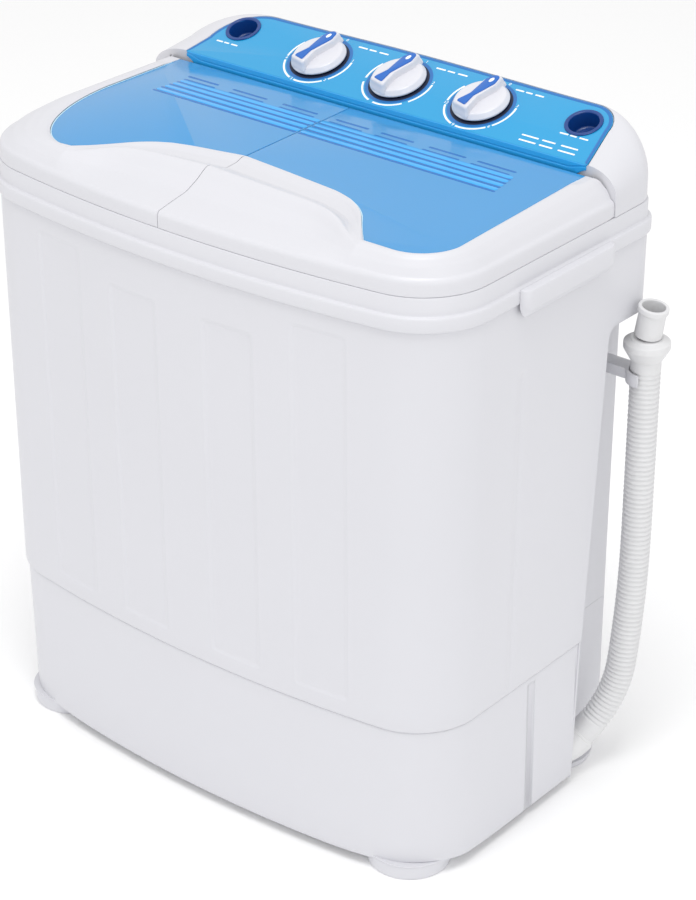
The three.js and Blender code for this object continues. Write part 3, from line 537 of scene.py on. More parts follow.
def body_outline(inset, side_steps=24, front_steps=180):
    """The body's outline inset evenly from its flange, anticlockwise from the front's left end."""
    x, y, bow = front_corner()
    back_x = HALF_WIDTH - BACK_RADIUS
    back_y = HALF_DEPTH - BACK_RADIUS
    back_radius = max(4, BACK_RADIUS - inset)
    shift = BACK_RADIUS - inset - back_radius
    right = back_x + shift + back_radius
    side = np.c_[np.full(side_steps, right), np.linspace(y, back_y + shift, side_steps)]
    front = arc(0, FRONT_RADIUS - HALF_DEPTH, FRONT_RADIUS - inset, -90 - bow, -90 + bow, front_steps)
    corner = arc(x, y, CORNER_RADIUS - inset, -90 + bow, 0, 28)
    back = arc(back_x + shift, back_y + shift, back_radius, 0, 90, 12)
    flip = np.array([-1, 1])
    return np.concatenate([
        front,
        corner[1:],
        side[1:-1],
        back,
        back[::-1] * flip,
        side[1:-1][::-1] * flip,
        corner[::-1][:-1] * flip,
    ])


def body_ring(inset, height, **steps):
    return lifted(body_outline(inset, **steps), height)


# ---- cabinet and base ----

NOTCH_INNER_X = 250
NOTCH_FRONT_LOW = 78
NOTCH_FRONT_BASE_TOP = 86
NOTCH_FRONT_HIGH = 105
NOTCH_TOP = 505
BASE_TOP = BASE_HIGH.z


def notch_cutter():
    """The hose recess down the right rear corner, with a rounded top front corner."""
    top = NOTCH_TOP
    high = NOTCH_FRONT_HIGH
    below = -10
    behind = HALF_DEPTH + 20
    outline = [
        (NOTCH_FRONT_LOW, below), (NOTCH_FRONT_BASE_TOP, BASE_TOP),
        (high, top - 10), (high + 1.5, top - 5), (high + 5, top - 1.5), (high + 10, top),
        (behind, top), (behind, below),
    ]
    return prism_along_x("notch_cut", outline, NOTCH_INNER_X, HALF_WIDTH + 20)


STRIPS = [(-161, 566), (-59, 542), (59, 542), (161, 566)]  # middle and top of each recessed front strip
STRIP_HALF = 28.5
STRIP_FOOT = 186
STRIP_DEPTH = 1.2
STRIP_EDGE = 5
LEFT_GROWTH = 2.5  # how much wider than even the left side is at the cabinet's bottom


def strip_depth(x, z):
    """How far the front wall is pressed in at a height."""
    depth = np.zeros_like(x)
    for middle, top in STRIPS:
        across = smoothstep((STRIP_HALF - np.abs(x - middle)) / STRIP_EDGE + 0.5)
        up = smoothstep((top - z) / STRIP_EDGE + 0.5) * smoothstep((z - STRIP_FOOT) / STRIP_EDGE + 0.5)
        depth = np.maximum(depth, across * up * STRIP_DEPTH)
    return depth


SIDE_GROOVE_Y = -34
SIDE_GROOVE_TOP = 516
SIDE_GROOVE_WIDTH = 3.0
SIDE_GROOVE_DEPTH = 0.9


def grown_left(outline, z):
    share = (CABINET_HIGH.z - z) / (CABINET_HIGH.z - CABINET_LOW.z)
    grown = outline.copy()
    left = outline[:, 0] < 0
    grown[left, 0] *= 1 + share * LEFT_GROWTH / HALF_WIDTH
    return grown


def cabinet_ring(inset, z, detail=True):
    outline = grown_left(body_outline(inset, side_steps=90, front_steps=260), z)
    if not detail:
        return lifted(outline, z)
    x, y = outline[:, 0], outline[:, 1]
    on_front = y < front_corner()[1] - 30
    y = y + np.where(on_front, strip_depth(x, z), 0)
    groove = np.exp(-(((y - SIDE_GROOVE_Y) / SIDE_GROOVE_WIDTH) ** 2)) * smoothstep((SIDE_GROOVE_TOP - z) / 6)
    on_side = np.abs(outline[:, 0]) > HALF_WIDTH - 14
    x = x - np.sign(x) * np.where(on_side, groove * SIDE_GROOVE_DEPTH, 0)
    return np.c_[x, y, np.full_like(x, z)]


def heights_with_detail(low, high, coarse, details, fine):
    """Heights at a coarse step, with a finer step about each detail."""
    values = set(np.round(np.arange(low, high, coarse), 3).tolist()) | {round(low, 3), round(high, 3)}
    for detail in details:
        for offset in np.arange(-6, 6.1, fine):
            if low < detail + offset < high:
                values.add(round(float(detail + offset), 3))
    return sorted(values)


def cabinet():
    low = CABINET_LOW.z
    high = CABINET_HIGH.z
    inset_low = HALF_WIDTH - BASE_HIGH.x
    inset_high = HALF_WIDTH - CABINET_HIGH.x
    details = [STRIP_FOOT, SIDE_GROOVE_TOP] + [top for _, top in STRIPS]
    levels = heights_with_detail(low + 3, high - 2, 26, details, 1.2)

    def inset_at(z):
        return inset_low + (inset_high - inset_low) * (z - low) / (high - low)

    outside = [cabinet_ring(inset_low + 1.6, low, False), cabinet_ring(inset_low + 0.4, low + 1, False)]
    outside += [cabinet_ring(inset_at(z), z) for z in levels]
    outside.append(cabinet_ring(inset_high + 0.5, high, False))
    inside = [cabinet_ring(inset + WALL + 2, z, False) for inset, z in ((inset_high, high), (inset_low, low))]
    shell = lofted("cabinet_wall", outside + inside, 40, loop=True)
    cut(shell, notch_cutter(), smooth_deg=40)
    piece(shell, WHITE, "cabinet", "white_plastic", "cabinet_shell")


def recess_liner(name, low, high, front_low, front_high):
    """The front and inner walls of the hose recess."""
    sheet = 2.6
    inner = NOTCH_INNER_X + 0.4
    outer = HALF_WIDTH - 7
    back = HALF_DEPTH - 6.6

    def plan(front):
        return np.array([
            (outer, front), (inner, front), (inner, back),
            (inner - sheet, back), (inner - sheet, front - sheet), (outer, front - sheet),
        ])

    liner = lofted(name, [lifted(plan(front_low), low), lifted(plan(front_high), high)], 30)
    piece(liner, WHITE, "cabinet", "white_plastic")


BASE_CORNER = (262, -140)
ARCH_HEIGHT = 7  # how far the base's bottom edge arches up over each front foot
ARCH_REACH = 52
BASE_LEFT_TAPER = 7  # how far the base's left side is drawn in at its bottom
BASE_SLOT = [(-0.5, 4), (10.5, 158)]  # y and z of the upright channel's corners on the right side


def base():
    low = BASE_LOW.z
    high = BASE_TOP

    def ring(inset, z):
        points = body_ring(inset, z, side_steps=60, front_steps=120)
        left = points[:, 0] < 0
        points[left, 0] *= 1 - BASE_LEFT_TAPER / HALF_WIDTH * (high - z) / (high - low)
        from_corner = np.hypot(np.abs(points[:, 0]) - BASE_CORNER[0], points[:, 1] - BASE_CORNER[1])
        near_bottom = smoothstep((low + 14 - z) / 14)
        points[:, 2] += near_bottom * ARCH_HEIGHT * np.exp(-((from_corner / ARCH_REACH) ** 2))
        return points

    outside = [
        ring(11, low), ring(9.4, low + 0.6), ring(7.9, low + 2.2), ring(7, low + 4.6), ring(6.6, low + 8),
        ring(6.9, low + 30), ring(8, high - 4), ring(8, high - 1.2), ring(8.4, high - 0.3), ring(9, high),
    ]
    inside = [ring(12.2, high), ring(10.6, low + 10), ring(14, low + WALL)]
    shell = lofted("base_tray", outside + inside, 40)
    slot = box_object("slot_cut", (HALF_WIDTH - 9.6, *BASE_SLOT[0]), (HALF_WIDTH + 4, *BASE_SLOT[1]))
    bevel(slot, 2, 3)
    cut(shell, notch_cutter(), slot, smooth_deg=40)
    piece(shell, WHITE, "cabinet", "white_plastic", "base_shell")


cabinet()
base()
recess_liner("base_recess_liner", BASE_LOW.z + 1, BASE_TOP, NOTCH_FRONT_LOW + 1.4, NOTCH_FRONT_BASE_TOP)
recess_liner(
    "cabinet_recess_liner", CABINET_LOW.z, NOTCH_TOP - 8, NOTCH_FRONT_BASE_TOP, NOTCH_FRONT_HIGH - 0.4,
)

# ---- deck ----

WASH_LIP = 8  # how far the wash tub's lip reaches out over the deck
SPIN_LIP = 6
TUB_LOW, TUB_HIGH = box_mm("wash_tub")
SPIN_LOW, SPIN_HIGH = box_mm("spin_outer_tub")
TUB_TOP = TUB_HIGH.z
WASH_TUB = tuple(middle_mm("wash_tub").xy)
WASH_TUB_HALF = ((TUB_HIGH.x - TUB_LOW.x) / 2 - WASH_LIP, (TUB_HIGH.y - TUB_LOW.y) / 2 - WASH_LIP)
WASH_TUB_RADIUS = 80
SPIN_TUB = tuple(middle_mm("spin_basket").xy)
SPIN_TUB_RADIUS = (SPIN_HIGH.x - SPIN_LOW.x) / 2 - SPIN_LIP
GRIP_LOW, GRIP_HIGH = box_mm("carry_grip_right")
FLANGE_LEDGE = GRIP_HIGH.z


def rounded_rectangle(centre, half, radius, steps=20):
    (x, y), (hx, hy) = centre, half
    return np.concatenate([
        arc(x + hx - radius, y - hy + radius, radius, -90, 0, steps),
        arc(x + hx - radius, y + hy - radius, radius, 0, 90, steps),
        arc(x - hx + radius, y + hy - radius, radius, 90, 180, steps),
        arc(x - hx + radius, y - hy + radius, radius, 180, 270, steps),
    ])


def wash_mouth(inset):
    hx, hy = WASH_TUB_HALF
    return rounded_rectangle(WASH_TUB, (hx - inset, hy - inset), WASH_TUB_RADIUS - inset)


def circle(centre, radius, sides=96):
    return arc(centre[0], centre[1], radius, 0, 360, sides)[:-1]


def mouth_cutter(name, outline_at):
    """A cutter through the deck whose rim widens at its top, so that the hole has a soft edge."""
    low = FLANGE_LEDGE - 10
    high = DECK_HIGH.z
    soft = 1.6
    rings = [lifted(outline_at(0), low), lifted(outline_at(0), high - soft)]
    for angle in np.radians([20, 45, 70, 90]):
        widened = outline_at(-soft * (1 - math.cos(angle)))
        rings.append(lifted(widened, high - soft + soft * math.sin(angle)))
    rings.append(lifted(outline_at(-soft), high + 20))
    return lofted(name, rings)


def deck():
    low = DECK_LOW.z
    top = DECK_HIGH.z
    ledge = FLANGE_LEDGE
    outside = [
        body_ring(2.4, low), body_ring(1.0, low + 0.5), body_ring(0.4, low + 1.4),
        body_ring(0, low + 3), body_ring(0, ledge - 2), body_ring(0.4, ledge - 0.6),
        body_ring(1.2, ledge), body_ring(3.2, ledge + 0.2), body_ring(3.8, ledge + 0.8),
        body_ring(4, ledge + 2), body_ring(4, top - 1.6), body_ring(4.5, top - 0.5), body_ring(5.6, top),
    ]
    inside = [body_ring(8, top - 5.6), body_ring(8, low)]
    shell = lofted("top_deck_flange", outside[::-1] + [body_ring(4.6, low)] + inside[::-1], 40)
    wash = mouth_cutter("wash_mouth_cut", lambda inset: wash_mouth(WALL + inset))
    spin = mouth_cutter("spin_mouth_cut", lambda inset: circle(SPIN_TUB, SPIN_TUB_RADIUS - WALL - inset))
    cut(shell, wash, spin, smooth_deg=40)
    piece(shell, WHITE, "cabinet", "white_plastic", "top_deck")


# ---- lids ----

SEAM_X = -22
SEAM_GAP = 0.35
LID_INSET = 5
LID_BOTTOM = DECK_HIGH.z + 0.4
LID_EDGE = 634.5
LID_ROUND = 3.4
LID_REAR_Y = box_mm("wash_lid_frame")[1].y
WINDOW_LEVEL = 652
WINDOW_SLOPE = 0.02
WINDOW_THICKNESS = 2.2
WINDOW_FRONT_Y = -140
# The window's edge drops round the handle's end: x from WINDOW_CORNER, and y.
WINDOW_DROP = [
    (-88, -69), (-68, -75), (-52, -84), (-38, -96), (-26, -111), (-12, -127), (0, WINDOW_FRONT_Y), (20, -162),
]
# Where each window's front corner turns into its outer side: an elliptical quarter.
WINDOW_CORNER = {1: 188, -1: 166}
WINDOW_SIDE_X = {1: box_mm("wash_lid_window")[1].x, -1: -box_mm("spin_lid_window")[0].x}
WINDOW_TURN_Y = {1: -98, -1: -5}
WINDOW_ROUND = {1: (42, 42), -1: (76, 137)}
HINGE_Y, HINGE_Z = middle_mm("wash_lid_hinge_rod").yz
BARREL_RADIUS = 5.8
MOULDING_BARREL = 6.1


def window_plane(y):
    return WINDOW_LEVEL + WINDOW_SLOPE * y


def blurred(x, knots, values, width):
    """Straight lines through the knots, softened over a width."""
    offsets = np.linspace(-1, 1, 21)
    weights = (1 - offsets**2) ** 2
    samples = [w * np.interp(x + width * o, knots, values) for o, w in zip(offsets, weights)]
    return np.sum(samples, axis=0) / weights.sum()


def lid_edges(side):
    """Matching outer and window edges in plan, from the seam's front end round to the rear."""
    front_steps = 120
    corner_steps = 60
    side_steps = 60
    corner = WINDOW_CORNER[side]
    seam = side * SEAM_X + SEAM_GAP
    corner_x, corner_y, bow = front_corner()
    radius = CORNER_RADIUS - LID_INSET
    across = np.linspace(seam, corner, front_steps)
    outer_front = np.c_[across, front_y(across, LID_INSET)]
    knots = [seam - 20, seam, (seam + corner) / 2 - 50] + [corner + x for x, _ in WINDOW_DROP]
    depths = [-57, -57, -62] + [y for _, y in WINDOW_DROP]
    window_front = np.c_[across, blurred(across, knots, depths, 9)]
    start_x = corner_x + radius * math.sin(math.radians(bow))
    straight = np.linspace(corner, start_x, corner_steps // 3)[1:]
    outer_corner = np.concatenate([
        np.c_[straight, front_y(straight, LID_INSET)],
        arc(corner_x, corner_y, radius, -90 + bow, 0, corner_steps)[1:],
    ])
    round_x, round_y = WINDOW_ROUND[side]
    side_x = WINDOW_SIDE_X[side]
    turn_x = side_x - round_x
    turn_y = WINDOW_TURN_Y[side]
    flat = np.linspace(corner, turn_x, corner_steps // 3)[1:]
    flat_y = np.interp(flat, [corner, turn_x], [WINDOW_FRONT_Y, turn_y - round_y])
    window_corner = np.concatenate([
        np.c_[flat, flat_y],
        arc(0, 0, 1, -90, 0, corner_steps)[1:] * (round_x, round_y) + (turn_x, turn_y),
    ])
    outer_x = HALF_WIDTH - LID_INSET
    outer_side = np.linspace([outer_x, corner_y], [outer_x, LID_REAR_Y], side_steps)[1:]
    window_side = np.linspace([side_x, turn_y], [side_x - 5, LID_REAR_Y], side_steps)[1:]
    outer = np.concatenate([outer_front, outer_corner, outer_side])
    window = np.concatenate([window_front, window_corner, window_side])
    hump = smoothstep((corner + 2 - window[:, 0]) / 62)
    hump[len(window_front):] = 0
    return outer, window, hump


HUMP_PROFILE = [
    (0, LID_EDGE), (0.1, 637), (0.304, 641.3), (0.43, 648.4), (0.52, 655.6), (0.56, 657.8),
    (0.6, 656.8), (0.66, 652.4), (0.78, 647.4), (0.9, 648.4), (0.96, 651.2), (1, 651.4),
]
SIDE_PROFILE = [(0, LID_EDGE), (0.22, 643), (0.5, 650), (0.75, 653), (0.92, 653.2), (1, 651.6)]


def lid_surface(side):
    """Rows of points from the lid's bottom edge up over its top to the window's edge."""
    outer, window, hump = lid_edges(side)
    t = np.concatenate([np.linspace(0, 0.55, 34), np.linspace(0.55, 1, 44)[1:]])
    front_z = blurred(t, *zip(*HUMP_PROFILE), 0.03)
    side_z = blurred(t, *zip(*SIDE_PROFILE), 0.08)
    plane_shift = window_plane(window[:, 1]) - window_plane(-60)
    rows = []
    for height in (LID_BOTTOM, LID_BOTTOM + 1, 624, 628):
        rows.append(lifted(outer, height))
    centre_ward = (window - outer) / np.linalg.norm(window - outer, axis=1)[:, None]
    start = outer + centre_ward * LID_ROUND
    for angle in np.radians([15, 35, 55, 75]):
        drawn_in = outer + centre_ward * LID_ROUND * (1 - math.cos(angle))
        rows.append(lifted(drawn_in, LID_EDGE - 5.5 * (1 - math.sin(angle))))
    for share, z_front, z_side in zip(t, front_z, side_z):
        plan = start * (1 - share) + window * share
        z = hump * z_front + (1 - hump) * z_side + share * plane_shift
        rows.append(np.c_[plan, np.minimum(z, rear_limit(plan[:, 1]))])
    for row in rows:
        row[-1, 1] = HINGE_Y + MOULDING_BARREL + 1.5
        row[:, 1] = np.minimum(row[:, 1], HINGE_Y + np.array([barrel_reach(z) for z in row[:, 2]]))
    return rows, window


def barrel_reach(z):
    """How far behind the hinge line the moulding's rear edge may reach at a height."""
    above = z - HINGE_Z
    if above > 0:
        return math.sqrt(max(0.01, MOULDING_BARREL**2 - above**2))
    foot_radius = HINGE_Z - LID_BOTTOM
    return min(MOULDING_BARREL - 0.3 * max(above, -5), math.sqrt(max(0.01, foot_radius**2 - above**2)))


def rear_limit(y):
    """The height the moulding keeps under near its hinge, so that it turns clear of the panel."""
    return HINGE_Z + 5.9 + 10 * smoothstep((HINGE_Y - 12 - y) / 60)


def thickened(rows, thickness):
    """A closed shell: the rows' surface and its copy pushed inwards along the normals."""
    grid = np.array(rows)
    along = np.gradient(grid, axis=1)
    across = np.gradient(grid, axis=0)
    normal = np.cross(along, across)
    normal /= np.linalg.norm(normal, axis=2)[:, :, None] + 1e-9
    if normal[len(rows) // 2, :, 2].mean() < 0:
        normal = -normal
    inner = grid - normal * thickness
    inner[0, :, 2] = grid[0, :, 2]
    inner[:, 0, 0] = grid[:, 0, 0]
    inner[:, -1, 1] = grid[:, -1, 1]
    inner[:, :, 2] = np.maximum(inner[:, :, 2], LID_BOTTOM)
    sections = [np.concatenate([grid[:, k], inner[::-1, k]]) for k in range(grid.shape[1])]
    return loft(sections)


def lid_rails(side):
    """The straight rails under the window's seam edge and along the hinge, as one L-shaped solid."""
    seam = side * SEAM_X + SEAM_GAP
    end = WINDOW_SIDE_X[side] - 7
    outline = [(seam, -58), (seam + 5, -59), (seam + 5, 90.5), (end, 90.5), (end, 94.8), (seam, 94.8)]
    rings = [[(x, y, window_plane(y) - WINDOW_THICKNESS - drop) for x, y in outline] for drop in (9, 0.2)]
    return loft([np.array(ring) for ring in rings])


def lid(side, name):
    rows, window = lid_surface(side)
    points, faces = joined([thickened(rows, 2.6), lid_rails(side)])
    moulding = mesh_object(f"{name}_moulding", mirrored(points, side), faces, 50)
    piece(moulding, WHITE, name, "white_plastic", f"{name}_frame")
    lid_window(side, name, window)


def lid_window(side, name, edge):
    """The clear sheet, with a rounded edge, laid on the moulding."""
    seam = side * SEAM_X + SEAM_GAP
    outline = np.concatenate([edge, [(seam, LID_REAR_Y - 0.6)]])
    middle = outline.mean(axis=0)

    def ring(inset, drop):
        plan = outline + (middle - outline) / np.linalg.norm(middle - outline, axis=1)[:, None] * inset
        plan[:, 0] = np.maximum(plan[:, 0], seam)
        plan[:, 1] = np.minimum(plan[:, 1], LID_REAR_Y - 0.6)
        return np.c_[plan, window_plane(plan[:, 1]) - drop]

    under = WINDOW_THICKNESS
    rings = [ring(0.6, under), ring(0.1, under - 0.4), ring(0.1, 0.6), ring(0.4, 0.15), ring(1.2, 0)]
    sheet = lofted(f"{name}_clear_window", rings, 30, side)
    behind = [tuple(p) for p in arc(HINGE_Y, HINGE_Z, BARREL_RADIUS, 0, 90, 12)]
    behind += [(HINGE_Y, HINGE_Z + 20), (HINGE_Y + 20, HINGE_Z + 20), (HINGE_Y + 20, HINGE_Z)]
    cut(sheet, prism_along_x("behind_barrel_cut", behind, -HALF_WIDTH - 5, HALF_WIDTH + 5), smooth_deg=30)
    piece(sheet, CLEAR_BLUE, name, "clear_blue_plastic", f"{name}_window")
    # a pale strip round the window's edge: painted highlight on its rounded rim
    strip = [ring(0.2, 0.3), ring(0.4, -0.2), ring(1.2, -0.3), ring(1.6, 0.1)]
    sections = [np.array([r[k] for r in strip]) for k in range(len(edge)) if edge[k, 1] < 88]
    painted_highlight_edge = lofted(f"{name}_window_bright_edge", sections, 60, side)
    piece(painted_highlight_edge, WINDOW_HIGHLIGHT_BLUE, name, "clear_blue_plastic")
    window_bars(f"{name}_window_grooves", side, groove_spans(side), GROOVE_HALF, 0.3, GROOVE_BLUE)
    window_bars(f"{name}_window_ribs", side, rib_spans(side), 3.2, 0.45, RIB_BLUE)


GROOVE_Y = (18, 28.5, 39, 48.5)  # the long grooves
DASH_Y = (57.5, 66)
GROOVE_HALF = 1.5
GROOVE_END = {1: 234, -1: 186}  # measured from the seam outwards
DASHES = {1: [(8, 46), (64, 101), (122, 163), (179, 221)], -1: [(13, 55), (78, 120), (142, 180)]}


def groove_spans(side):
    """Start, end and line of each groove, measured from the seam outwards."""
    spans = [(2.5, GROOVE_END[side] - 1.5 * row, y) for row, y in enumerate(GROOVE_Y)]
    for row, y in enumerate(DASH_Y):
        spans += [(start + 2 * row, end + 2 * row, y) for start, end in DASHES[side]]
    return spans


def rib_spans(side):
    """The bright ribs left standing between the grooves."""
    lines = GROOVE_Y + DASH_Y
    return [(4, GROOVE_END[side] - 3 - 1.5 * k, (lines[k] + lines[k + 1]) / 2) for k in range(4)]


def window_bars(name, side, spans, half, height, material):
    """Rounded bars laid in the window, standing a hair above its top."""
    seam = side * SEAM_X + SEAM_GAP

    def bar(start, end, y):
        def outline(radius):
            ends = [arc(seam + end, y, radius, -90, 90, 8), arc(seam + start, y, radius, 90, 270, 8)]
            return np.concatenate(ends)

        plan = outline(half)
        small = outline(half - 0.5)
        return loft([
            np.c_[plan, window_plane(plan[:, 1]) - 1.2],
            np.c_[plan, window_plane(plan[:, 1]) + height - 0.2],
            np.c_[small, window_plane(small[:, 1]) + height],
        ])

    points, faces = joined([bar(*span) for span in spans])
    bars = mesh_object(name, mirrored(points, side), faces, 40)
    piece(bars, material, "wash_lid" if side > 0 else "spin_lid", "clear_blue_plastic")


deck()
lid(1, "wash_lid")
lid(-1, "spin_lid")

# ---- control housing and panel ----

PANEL_LOW, PANEL_HIGH = box_mm("control_panel")
PANEL_SHIFT = middle_mm("control_panel").x  # how far the panel's middle lies to the right of the body's
PANEL_FRONT = (PANEL_LOW.y, 662)  # y and z of the panel's front edge
PANEL_CROWN = 2.5  # how far the rear edge is drawn in towards its ends
LEFT_ROUND = 52
PANEL_SLOPE = math.radians(21)
PANEL_HALF = (PANEL_HIGH.x - PANEL_LOW.x) / 2
PANEL_BACK_HALF = 240
PANEL_DEPTH = 82
PANEL_THICKNESS = 2.4
PANEL_ROUND = 30
RISER_FOOT = 645
HOUSING_FRONT = 105
# how finely the panel's and the housing's matching outlines are divided
SIDE_POINTS = 14
ROUND_STEPS = 16
BACK_POINTS = 30
KNOBS = ("spin_timer", "drain_selector", "wash_timer")
KNOB_X = {name: middle_mm(f"{name}_knob").x - PANEL_SHIFT for name in KNOBS}
KNOB_V = 39
INLET_X = middle_mm("water_inlet_right").x - PANEL_SHIFT
INLET_V = 51
INLET_RADIUS = 17
INLET_DEPTH = 18


def on_panel(points):
    """From the panel's own axes (u across, v up the slope, n out of it) to the frame's."""
    u, v, n = np.asarray(points, float).T
    y = PANEL_FRONT[0] + v * math.cos(PANEL_SLOPE) - n * math.sin(PANEL_SLOPE)
    z = PANEL_FRONT[1] + v * math.sin(PANEL_SLOPE) + n * math.cos(PANEL_SLOPE)
    return np.c_[u + PANEL_SHIFT, y, z]


def lay_on_panel(thing, u=0, v=0, turn=0.0):
    """Moves a piece built about its own Z axis onto the panel at (u, v)."""
    place = Matrix.Translation(Vector((PANEL_SHIFT, *PANEL_FRONT)) * MM)
    tilt = Matrix.Rotation(PANEL_SLOPE, 4, "X")
    shift = Matrix.Translation(Vector((u, v, 0)) * MM)
    thing.data.transform(place @ tilt @ shift @ Matrix.Rotation(turn, 4, "Z"))
    return thing


def panel_outline(inset, front=0.6):
    """The panel's edge in its own plane, from the front right corner round the back to the front left."""

    def half(radius):
        depth = PANEL_DEPTH - PANEL_CROWN
        corner = arc(PANEL_BACK_HALF - radius, depth - radius, radius - inset, 0, 90, ROUND_STEPS)
        side = np.linspace([PANEL_HALF - inset, front + inset * 0.6], corner[0], SIDE_POINTS)[:-1]
        u = np.linspace(PANEL_BACK_HALF - radius, 0, BACK_POINTS)[1:]
        v = depth - inset + PANEL_CROWN * smoothstep(1 - u / (PANEL_BACK_HALF - radius))
        return np.concatenate([side, corner, np.c_[u, v]])

    return np.concatenate([half(PANEL_ROUND), half(LEFT_ROUND)[::-1][1:] * (-1, 1)])


def housing_outline():
    """The housing's foot, matched point for point with panel_outline."""
    radius = 34
    side_x = HALF_WIDTH - 4.6
    back = HALF_DEPTH - 1.6
    corner = arc(side_x - radius, back - radius, radius, 0, 90, ROUND_STEPS)
    side = np.linspace([side_x + 0.6, HOUSING_FRONT], corner[0], SIDE_POINTS)[:-1]
    rear = np.linspace([side_x - radius, back], [0, back], BACK_POINTS)[1:]
    half = np.concatenate([side, corner, rear])
    return np.concatenate([half, half[::-1][1:] * (-1, 1)])


def housing_rows(inset, drop):
    """Rings up the housing's side and over its soft shoulder to the panel's edge."""
    foot = housing_outline()
    middle = np.array([0, 140])
    rim = on_panel(lifted(panel_outline(-1.2, 1.6), -0.4))
    drawn = foot + np.sign(middle - foot) * inset
    drawn[:, 1] = np.maximum(drawn[:, 1], HOUSING_FRONT + inset)
    rows = [lifted(drawn, z) for z in (LID_BOTTOM, LID_BOTTOM + 1.2, 630, 636)]
    shoulder = 638
    for angle in np.radians(np.linspace(6, 90, 22)):
        share = (1 - math.cos(angle)) ** 0.92
        plan = drawn * (1 - share) + (rim[:, :2] + np.sign(middle - rim[:, :2]) * inset) * share
        plan[:, 1] = np.maximum(plan[:, 1], HOUSING_FRONT * (1 - share) + PANEL_FRONT[0] * share + inset)
        height = shoulder + (rim[:, 2] - drop - shoulder) * math.sin(angle) ** 0.95
        rows.append(np.c_[plan, height])
    return rows


def housing():
    recess = on_panel(lifted(panel_outline(-0.5, 1.2), -PANEL_THICKNESS - 0.5))
    shell = lofted("control_housing_moulding", housing_rows(0, 0) + [recess], 40)
    inside = housing_rows(3.2, 6.5)
    inside[0][:, 2] -= 20
    cut(shell, lofted("cavity_cut", inside), *panel_holes(-30, -40, 0.6), smooth_deg=40)
    piece(shell, WHITE, "cabinet", "white_plastic", "control_housing")


def turned_plug(name, radius, low, high, sides=64):
    return lofted(name, [lifted(circle((0, 0), radius, sides), z) for z in (low, high)])


def panel_holes(shaft_low, inlet_low, clearance):
    """Cutters for the three knob shafts and the two water inlets."""
    holes = [lay_on_panel(turned_plug("shaft_cut", 4, shaft_low, 10), u, KNOB_V) for u in KNOB_X.values()]
    for side in (-1, 1):
        hole = turned_plug("inlet_cut", INLET_RADIUS + clearance, inlet_low, 10)
        holes.append(lay_on_panel(hole, side * INLET_X, INLET_V))
    return holes


def panel():
    edge = [(0.2, -PANEL_THICKNESS), (0, -1.2), (0, -0.7), (0.25, -0.2), (0.9, 0)]
    sheet = lofted("control_panel_face", panel_rings(edge), 30)
    cut(sheet, *panel_holes(-10, -10, 0.5))
    piece(sheet, PANEL_BLUE, "cabinet", "panel_blue_plastic", "control_panel")
    panel_rim()
    panel_riser()


def panel_rings(edge):
    """Rings round the panel from (inset, height) pairs."""
    return [on_panel(lifted(panel_outline(inset), n)) for inset, n in edge]


def panel_rim():
    """The darker bevelled border along the panel's sides and back."""
    rings = panel_rings([(0.5, -0.3), (0.6, 0.12), (1.4, 0.3), (2.8, 0.3), (3.8, 0.05), (3.8, -0.3)])
    rim = lofted("control_panel_rim", np.array(rings).transpose(1, 0, 2), 50)
    piece(rim, RIM_AND_SHADE_BLUE, "cabinet", "panel_blue_plastic")


def panel_riser():
    """The upright front of the panel, with a groove along it; its foot rises towards both ends."""
    y, z = PANEL_FRONT
    sections = []
    right_end = np.linspace(200, PANEL_HALF - 1, 14)
    for x in np.r_[-right_end[::-1], np.linspace(-180, 180, 7), right_end]:
        foot = RISER_FOOT + (z - 5 - RISER_FOOT) * smoothstep((abs(x) - 226) / 24)
        groove = foot + 0.62 * (z - foot)
        outline = [
            (y + 1.9, foot), (y + 0.1, foot), (y - 0.1, foot + 0.4), (y - 0.1, groove - 0.6),
            (y + 0.6, groove), (y + 0.6, groove + 1.0), (y - 0.1, groove + 1.5),
            (y - 0.1, z - 0.7), (y + 0.2, z - 0.2), (y + 1.9, z + 0.1),
        ]
        sections.append(np.array([(x + PANEL_SHIFT, *corner) for corner in outline]))
    piece(lofted("control_panel_riser", sections, 30), RISER_BLUE, "cabinet", "panel_blue_plastic")


# ---- knobs, their printed dials and the water inlets ----


POINTER_LEAN = math.radians(-14)


def waisted(right_half):
    """A closed corner list from its right half, front end first."""
    return right_half + [(-x, y, fillet) for x, y, fillet in reversed(right_half)]


BLADE = waisted([(11, -26, 3), (6, -6, 10), (8.5, 16, 6), (4, 29, 3)])
INLAY = waisted([(6, -22.5, 1.5), (2.6, -8, 6), (6.4, 16, 5), (3, 26, 4)])


def knob(name, u):
    cap = turned(f"{name}_grip", filleted([
        (0, 2.4, 0), (26.5, 2.4, 0), (28.4, 2.7, 0.4), (28.5, 4.2, 0.8),
        (25.6, 8.6, 2.5), (22, 9.6, 3), (0, 10.2, 0),
    ]), smooth_deg=50)
    outline = filleted(BLADE, closed=True)
    blade = [(1.06, 6), (1.03, 9.4), (1.0, 10.4), (0.985, 14), (0.96, 16), (0.92, 16.9), (0.87, 17.1)]
    fuse(cap, lofted("blade", [lifted(outline * share, n) for share, n in blade], 50))
    fuse(cap, turned_plug("shaft", 3, -19, 5, 32))
    smooth(cap, 40)
    lay_on_panel(cap, u, KNOB_V, POINTER_LEAN)
    piece(cap, WHITE_GLOSS, name, "white_plastic", f"{name}_knob")
    inlay(name, u)
    dial(name, u)


